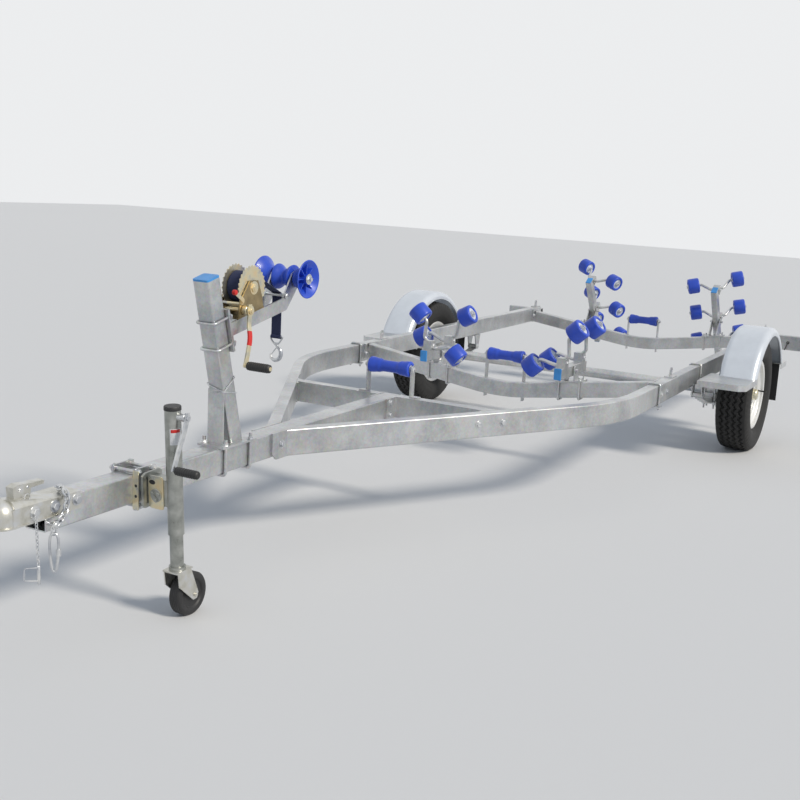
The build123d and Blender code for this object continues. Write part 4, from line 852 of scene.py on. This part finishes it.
def safetyChain(s):
    # the snap link is a pear: w/2 (1 + 0.3 cos t) |sin t|^0.6 to each side at the height long/2 cos t
    snap, across = np.array(s["snap"]), np.array(s["snapAcross"])
    links = chainShapes(rounded(s["route"], 6), s["size"], s["wire"])
    links.append(ovalLoop(snap + s["lastLinkUp"] * up, up, forward, s["size"], s["lastLinkWide"], s["wire"]))
    t = np.linspace(0, 2 * np.pi, 32, endpoint=False)[:, None]
    reach = 0.5 * s["snapWide"] * (1 + 0.3 * np.cos(t)) * np.sign(np.sin(t)) * np.abs(np.sin(t)) ** 0.6
    pear = snap + 0.5 * s["snapLong"] * np.cos(t) * up + reach * across
    links.append(hose(pear, s["snapWire"], 10, np.cross(up, across), closedRows=True))
    sleeve = lathe([(-10, 6), (-9, 7), (9, 7), (10, 6)], 20)
    links += placed([sleeve], framed(snap + 0.5 * s["snapWide"] * across, up))
    radius, out, topOut = s["boltRadius"], s["boltOut"], s["topBoltOut"]
    links += placed([lathe([(0, radius), (out, radius)], 20)], framed(s["bolt"], left))
    links += placed([lathe([(-1, radius), (topOut + 1, radius)], 20)], framed(s["topBolt"], up))
    links += headShapes([s["bolt"] + out * left], left, 9, 5)
    return links + headShapes([s["topBolt"] + topOut * up], up, 10, 6)


chain = level((safetyChain(chainSettings), brightZinc))
addPiece("safety_chain_draped", "chassis", chain, 40, ["safety_chain"])
print("bolts made")


# Winch post: nuts of the bow arm's clamps and two turns of binding wire, in the post's leaned frame
postSettings = {"place": (3463, 0, 526), "rake": 14.3, "nutX": -43, "nutSides": (-38, 38),
                "nutHeights": (348, 442), "wire": 2.1, "wireHalf": 35, "ease": 0.06,
                "turns": ((220, 199, 228, 236), (190, 200, 168, 172))}


def postShapes(s):
    # each turn is a square round the post with a height of its own at every corner, the corners cut short
    shapes = nutShapes([(s["nutX"], y, z) for y in s["nutSides"] for z in s["nutHeights"]], -forward, 9, 8)
    square = s["wireHalf"] * np.array([(1, -1), (1, 1), (-1, 1), (-1, -1)])
    for heights in s["turns"]:
        wire = np.column_stack([square, heights]).astype(float)
        corners = np.repeat(wire, 2, 0)
        corners[0::2] += s["ease"] * (np.roll(wire, 1, 0) - wire)
        corners[1::2] += s["ease"] * (np.roll(wire, -1, 0) - wire)
        shapes.append(hose(corners, s["wire"], 7, up, closedRows=True))
    return shapes


postFrame = leaned(postSettings["place"], postSettings["rake"])
addPiece("post_fittings", "chassis", inRow(postFrame, (postShapes(postSettings), brightZinc)), 30)


# Winch: shaft nuts, a spacer and the ratchet's lever with its red knob
winchSettings = {"drumLeft": (3403, 44, 1054), "drumRight": (3403, -44, 1054), "ratchet": (3470, 44, 1014),
                 "handleRight": (3457, -44, 982), "spacer": (3474, 0, 1004), "spacerHalf": 39,
                 "lever": [(3470, 51.5, 1014), (3496, 51.5, 1032), (3516, 51.5, 1045)],
                 "knob": (3520, 52, 1047)}


def winchFittings(s):
    # turned heads, spacer and knob, and a flat bar carried along the lever's line
    half = s["spacerHalf"]
    steel = headShapes([s["drumLeft"]], left, 16, 6) + headShapes([s["ratchet"]], left, 9, 6)
    steel += headShapes([s["drumRight"]], right, 16, 6) + headShapes([s["handleRight"]], right, 12, 5)
    steel += placed([lathe([(-half, 5), (half, 5)], 16)], framed(s["spacer"], left))
    lever = carried(s["lever"], flat(3, 13), left)
    knob = lathe([(-8, 5), (-6, 8.5), (0, 9.5), (6, 8.5), (8, 5)], 24)
    return steel + [lever], placed([knob], framed(s["knob"], left))


# Winch handle: a flat kinked arm with a red mark, and a ribbed grip
handleSettings = {"shaft": (3457, 982), "wide": 19.0, "thick": 7.0, "mark": (866, 916),
                  "arm": [(3457, 68, 1004), (3457, 68, 972), (3459, 68, 934), (3467, 79, 893),
                          (3479, 82, 850), (3495, 82, 794)], "grip": (92.0, 186.0, 15.5), "gripUp": 8,
                  "ribs": 11}


def handleShapes(s):
    # arm: a flat bar along a smooth line, its thickness along Y; the mark is a stretch of it made thicker
    x, z = s["shaft"]
    run = rounded(s["arm"], 8)
    arm = carried(run, flat(s["thick"], s["wide"]), left)
    low, high = s["mark"]
    marked = run[(run[:, 2] > low) & (run[:, 2] < high)]
    mark = carried(marked, flat(s["thick"] + 1, s["wide"] + 1), left)
    shaft = placed([lathe([(-50, 8), (81, 8)], 24), lathe([(45, 15), (46, 17), (62, 17), (64, 15)], 28)],
                   framed((x, 0, z), left))
    shaft += headShapes([(x, 71.5, z)], left, 13, 7)
    tipX, _, tipZ = s["arm"][-1]
    tip = framed((tipX, 0, tipZ + s["gripUp"]), left)
    low, high, radius = s["grip"]
    spindle = placed([lathe([(78, 6), (low + 2, 6)], 20), lathe([(high - 1, 8), (high + 1.5, 7)], 20)], tip)
    return [arm] + shaft + spindle, [mark], placed([ribbedGrip(low, high, radius, s["ribs"])], tip)


steel, knob = winchFittings(winchSettings)
addPiece("winch_fittings", "chassis", level((steel, zincPlate), (knob, knobRed)), 30)
steel, mark, grip = handleShapes(handleSettings)
handle = level((steel, zincPlate), (mark, knobRed), (grip, gripBlack))
addPiece("winch_handle_flat", "chassis", handle, 35, ["winch_handle"])


# Hook of the winch's strap: a wire eye through the strap's loop, a thick bowl and a spring latch across it
hookSettings = {"place": (3199.2, 0, 860.5), "eyeWire": 3.6, "latchBar": (9, 1.4), "neck": (0, 1, -27),
                "eye": [(0, -23, 0), (0, 23, 0), (0, 23, -9), (0, 8, -26), (0, -8, -26), (0, -23, -9)],
                "bowl": [(2, -26), (5, -36), (18, -46), (22, -62), (15, -79), (-3, -87), (-19, -80),
                         (-24, -66)], "thick": [5.0, 5.5, 6.5, 7.5, 8.0, 7.0, 5.5, 3.0],
                "latch": [(0, 6, -38), (0, -6, -50), (0, -18, -66)]}


def winchHook(s):
    # the eye's line closes on itself, the bowl's wire has a radius at each of its points
    place = np.array(s["place"])
    eye = place + rounded(s["eye"] + s["eye"][:1], 3)[:-1]
    bowl = place + rounded([(0, y, z) for y, z in s["bowl"]], 6)
    thick = np.interp(np.linspace(0, 1, len(bowl)), np.linspace(0, 1, len(s["thick"])), s["thick"])
    latch = carried(place + np.array(s["latch"]), flat(*s["latchBar"]), forward)
    neck = placed([lathe([(-5, 6), (-4, 8), (5, 8), (6, 6)], 24)], framed(place + s["neck"], up))
    wires = [hose(eye, s["eyeWire"], 8, forward, closedRows=True), hose(bowl, thick, 14, forward)]
    return wires + [latch] + neck


hook = level((winchHook(hookSettings), brightZinc))
addPiece("winch_hook_latched", "chassis", hook, 40, ["winch_hook"])
print("winch made")


# Jack, drawn in its own leaned frame: black cap, bare label with a red stripe, swivel bracket with its disc
jackSettings = {"place": (3948, 0, 473), "lean": 3.5, "tubeY": 165, "capTop": 278, "capRadius": 26.6,
                "label": (-10, 74, 186, 25, 25.35), "stripe": (0, 66, 204, 5, 25.7)}
bracketSettings = {"x": 22.3, "thick": 3.0, "disc": (112.0, -8.0, 21.0), "bolts": (0.5, 2.6, 4.7),
                   "boltRing": 12.5, "slot": (98.0, 32.0, 24.0, 15.0), "corner": 8,
                   "corners": ((132, 46), (90, 46), (90, -44), (132, -44))}


def tubePatch(start, end, z, half, radius):
    # a thin patch on the tube: (radius sin a, y + radius cos a) from one angle to the other
    turn = np.radians(np.linspace(start, end, 24))
    arc = np.stack([radius * np.sin(turn), jackSettings["tubeY"] + radius * np.cos(turn), 0 * turn + z], -1)
    return [carried(arc, [(-half, -0.25), (-half, 0.25), (half, 0.25), (half, -0.25)], up)]


def facingPlate(outline, x, thick, bevel):
    # an outline in y and z given thickness forward from x; that frame's own X is -Y
    return placed([slab([(-y, z) for y, z in outline], 0, thick, bevel)], framed(x * forward, forward))


def bracketShapes(s):
    # a plate with rounded corners, a disc with bolts on it, and a thin dark plate on its face where an oblong hole
    # would be: painted shade of the hole
    corners = []
    for number, (y, z) in enumerate(s["corners"]):
        angle = np.radians([0, 45, 90]) + number * np.pi / 2
        corners += np.stack([s["corner"] * np.cos(angle) + y, s["corner"] * np.sin(angle) + z], -1).tolist()
    plate = facingPlate(corners, s["x"], s["thick"], 0.6)
    discY, discZ, radius = s["disc"]
    face = s["x"] + s["thick"]
    profile = [(-1, 3), (-1, radius), (2, radius), (3, radius - 1), (3, 3)]
    disc = placed([lathe(profile, 40, closedRows=True)], framed((face, discY, discZ), forward))
    spots = [(face + 2.8, discY + s["boltRing"] * math.cos(a), discZ + s["boltRing"] * math.sin(a))
             for a in s["bolts"]]
    disc += headShapes(spots, forward, 6.5, 5)
    # the oblong hole is not cut: a thin black plate paints its shade on the bracket's face
    slotY, slotZ, long, wide = s["slot"]
    angle = np.linspace(0, 2 * np.pi, 24, endpoint=False)
    hole = np.stack([slotY + 0.5 * long * np.cos(angle), slotZ + 0.5 * wide * np.sin(angle)], -1)
    return plate, disc, facingPlate(hole, face - 0.5, 0.8, 0.1)


def capShapes(s):
    # a low profile with an eased edge turned about the tube's axis
    top, radius = s["capTop"], s["capRadius"]
    profile = [(top - 13, radius), (top - 3, radius), (top - 0.5, radius - 1.6), (top, 2)]
    return placed([lathe(profile, 40)], framed((0, s["tubeY"], 0), up))


jackFrame = leaned(jackSettings["place"], jackSettings["lean"])
plate, disc, hole = bracketShapes(bracketSettings)
# the black cap and the painted shade of the bracket's hole share one black
trim = inRow(jackFrame, (capShapes(jackSettings) + hole, gripBlack),
             (tubePatch(*jackSettings["label"]), stickerPale), (tubePatch(*jackSettings["stripe"]), knobRed),
             (plate, zincPlate), (disc, jackZinc))
addPiece("jack_trim", "jack", trim, 35)


# Front flange of the jack's clamp on the drawbar, with two dark discs as painted shade of its holes
flangeSettings = {"x": 3994.2, "thick": 3, "sides": (40, 63), "heights": (412, 534), "hole": 5.0,
                  "holes": [(53, 455), (53, 488)]}


def flangeShapes(s):
    # a plate that faces forward and a thin dark disc for each hole, painted shade where the hole would be
    (y0, y1), (z0, z1) = s["sides"], s["heights"]
    plate = facingPlate([(y0, z0), (y1, z0), (y1, z1), (y0, z1)], s["x"], s["thick"], 0.6)
    # each disc is black: painted shade of a hole that is not cut through
    dark = lathe([(s["thick"] - 0.3, s["hole"]), (s["thick"] + 0.3, s["hole"])], 20)
    holes = []
    for y, z in s["holes"]:
        holes += placed([dark], framed((s["x"], y, z), forward))
    return plate, holes


plate, holes = flangeShapes(flangeSettings)
addPiece("clamp_flange", "chassis", level((plate, zincPlate), (holes, gripBlack)), 30)


# Jack crank: a boss on the tube, a flat arm swept down and outward, a ribbed grip at its end
crankSettings = {"boss": (187, 215, 12.0), "high": 246, "bar": (6, 18), "nut": (-1, 221, 246), "ribs": 10,
                 "arm": [(-3, 219, 262), (-1, 218, 244), (10, 217, 208), (34, 211, 148), (54, 207, 92)],
                 "tip": (52, 0, 96), "grip": (214, 300, 13.5)}


def crankShapes(s):
    # a turned boss, a flat bar carried along the arm's smooth line, a turned spindle and grip at the tip
    low, high, radius = s["boss"]
    boss = lathe([(low, radius), (high - 2, radius), (high, radius - 2)], 24)
    arm = carried(rounded(s["arm"], 7), flat(*s["bar"]), left)
    tip = framed(s["tip"], left)
    spindle = placed([lathe([(204, 5), (216, 5)], 16)], tip)
    steel = placed([boss], framed(s["high"] * up, left)) + [arm] + spindle
    return steel + headShapes([s["nut"]], left, 9, 6), placed([ribbedGrip(*s["grip"], s["ribs"])], tip)


steel, grip = crankShapes(crankSettings)
crank = inRow(jackFrame, (steel, brightZinc), (grip, gripBlack))
addPiece("jack_crank_flat", "jack", crank, 35, ["jack_crank"])
print("jack made")


# Rockers: azure plugs in the bar's ends and a bolt through each arm's holder
rockerSettings = {"front": {"reach": 180, "lean": 0.0, "holders": (122, -122)},
                  "rear": {"reach": 275, "lean": -56.0, "holders": (240, 0, -240)},
                  "places": {"front_left": (1140, 385, 522), "front_right": (1140, -365, 522),
                             "rear_left": (-1400, 510, 552), "rear_right": (-1400, -385, 536)},
                  "high": 58, "wide": 38, "ease": 2 / 38, "boltSide": 24, "boltHigh": 52,
                  "steps": [(-6, 0.9), (0.4, 1.0), (2.6, 1.0), (4.2, 0.94)]}


def plugShapes(s, reach):
    # an eased oblong grown by a share at each step out of the bar's end: (reach + step, share y, share z)
    z, y = np.array(flat(s["high"], s["wide"], s["ease"])).T
    step, share = np.array(s["steps"]).T[:, :, None]
    x = reach + step + 0 * y
    return [skin(np.stack([end * x, share * y, share * z], -1)) for end in (-1, 1)]


for name, place in rockerSettings["places"].items():
    kind = rockerSettings[name.split("_")[0]]
    side, high = rockerSettings["boltSide"], rockerSettings["boltHigh"]
    bolts = headShapes([(x, side, high) for x in kind["holders"]], left, 9, 6)
    bolts += headShapes([(x, -side, high) for x in kind["holders"]], right, 9, 6)
    plugs = plugShapes(rockerSettings, kind["reach"])
    trim = inRow(leaned(place, kind["lean"]), (plugs, capAzure), (bolts, brightZinc))
    addPiece("rocker_trim_" + name, "rocker_" + name, trim, 30)
print("rockers made")


# Cable of the rear bar: a rubber ring round its hole and the loose end
cableSettings = {"hole": (-1450, 993, 453), "ring": [(-1, 5), (-1, 11), (3, 10), (4, 8), (3, 5)],
                 "radius": 3.2, "route": [(-1456, 993, 453), (-1444, 993, 452), (-1434, 990, 440),
                                          (-1432, 984, 420), (-1440, 976, 404)]}
ring = placed([lathe(cableSettings["ring"], 24, closedRows=True)], framed(cableSettings["hole"], forward))
cable = hose(rounded(cableSettings["route"], 6), cableSettings["radius"])
addPiece("bar_cable", "chassis", level((ring + [cable], gripBlack)), 35)


# Finish of the frame's own pieces, by the record's slot
slotFinish = {"galvanised": galvanised, "fender_silver": fenderSilver, "wheel_silver": wheelSilver,
              "tyre": tyreBlack, "roller_blue": rollerBlue, "zinc": brightZinc, "winch_zinc": zincPlate,
              "black_rubber": gripBlack, "strap_navy": strapNavy, "cap_azure": capAzure}
# the winch frame takes the darker zinc, whose colour is painted shade on its cheeks
nodeFinish = {"winch_frame": cheekPaintedShade, "coupler": couplerZinc, "jack_tube": jackZinc,
              "jack_inner": jackZinc, "caster_fork": couplerZinc}
for row in frame["record"]["subparts"]:
    data = nodes[row["node"]].data
    data.materials.clear()
    data.materials.append(nodeFinish.get(row["node"], slotFinish[row["material_slot"]]))
print("frame finished")
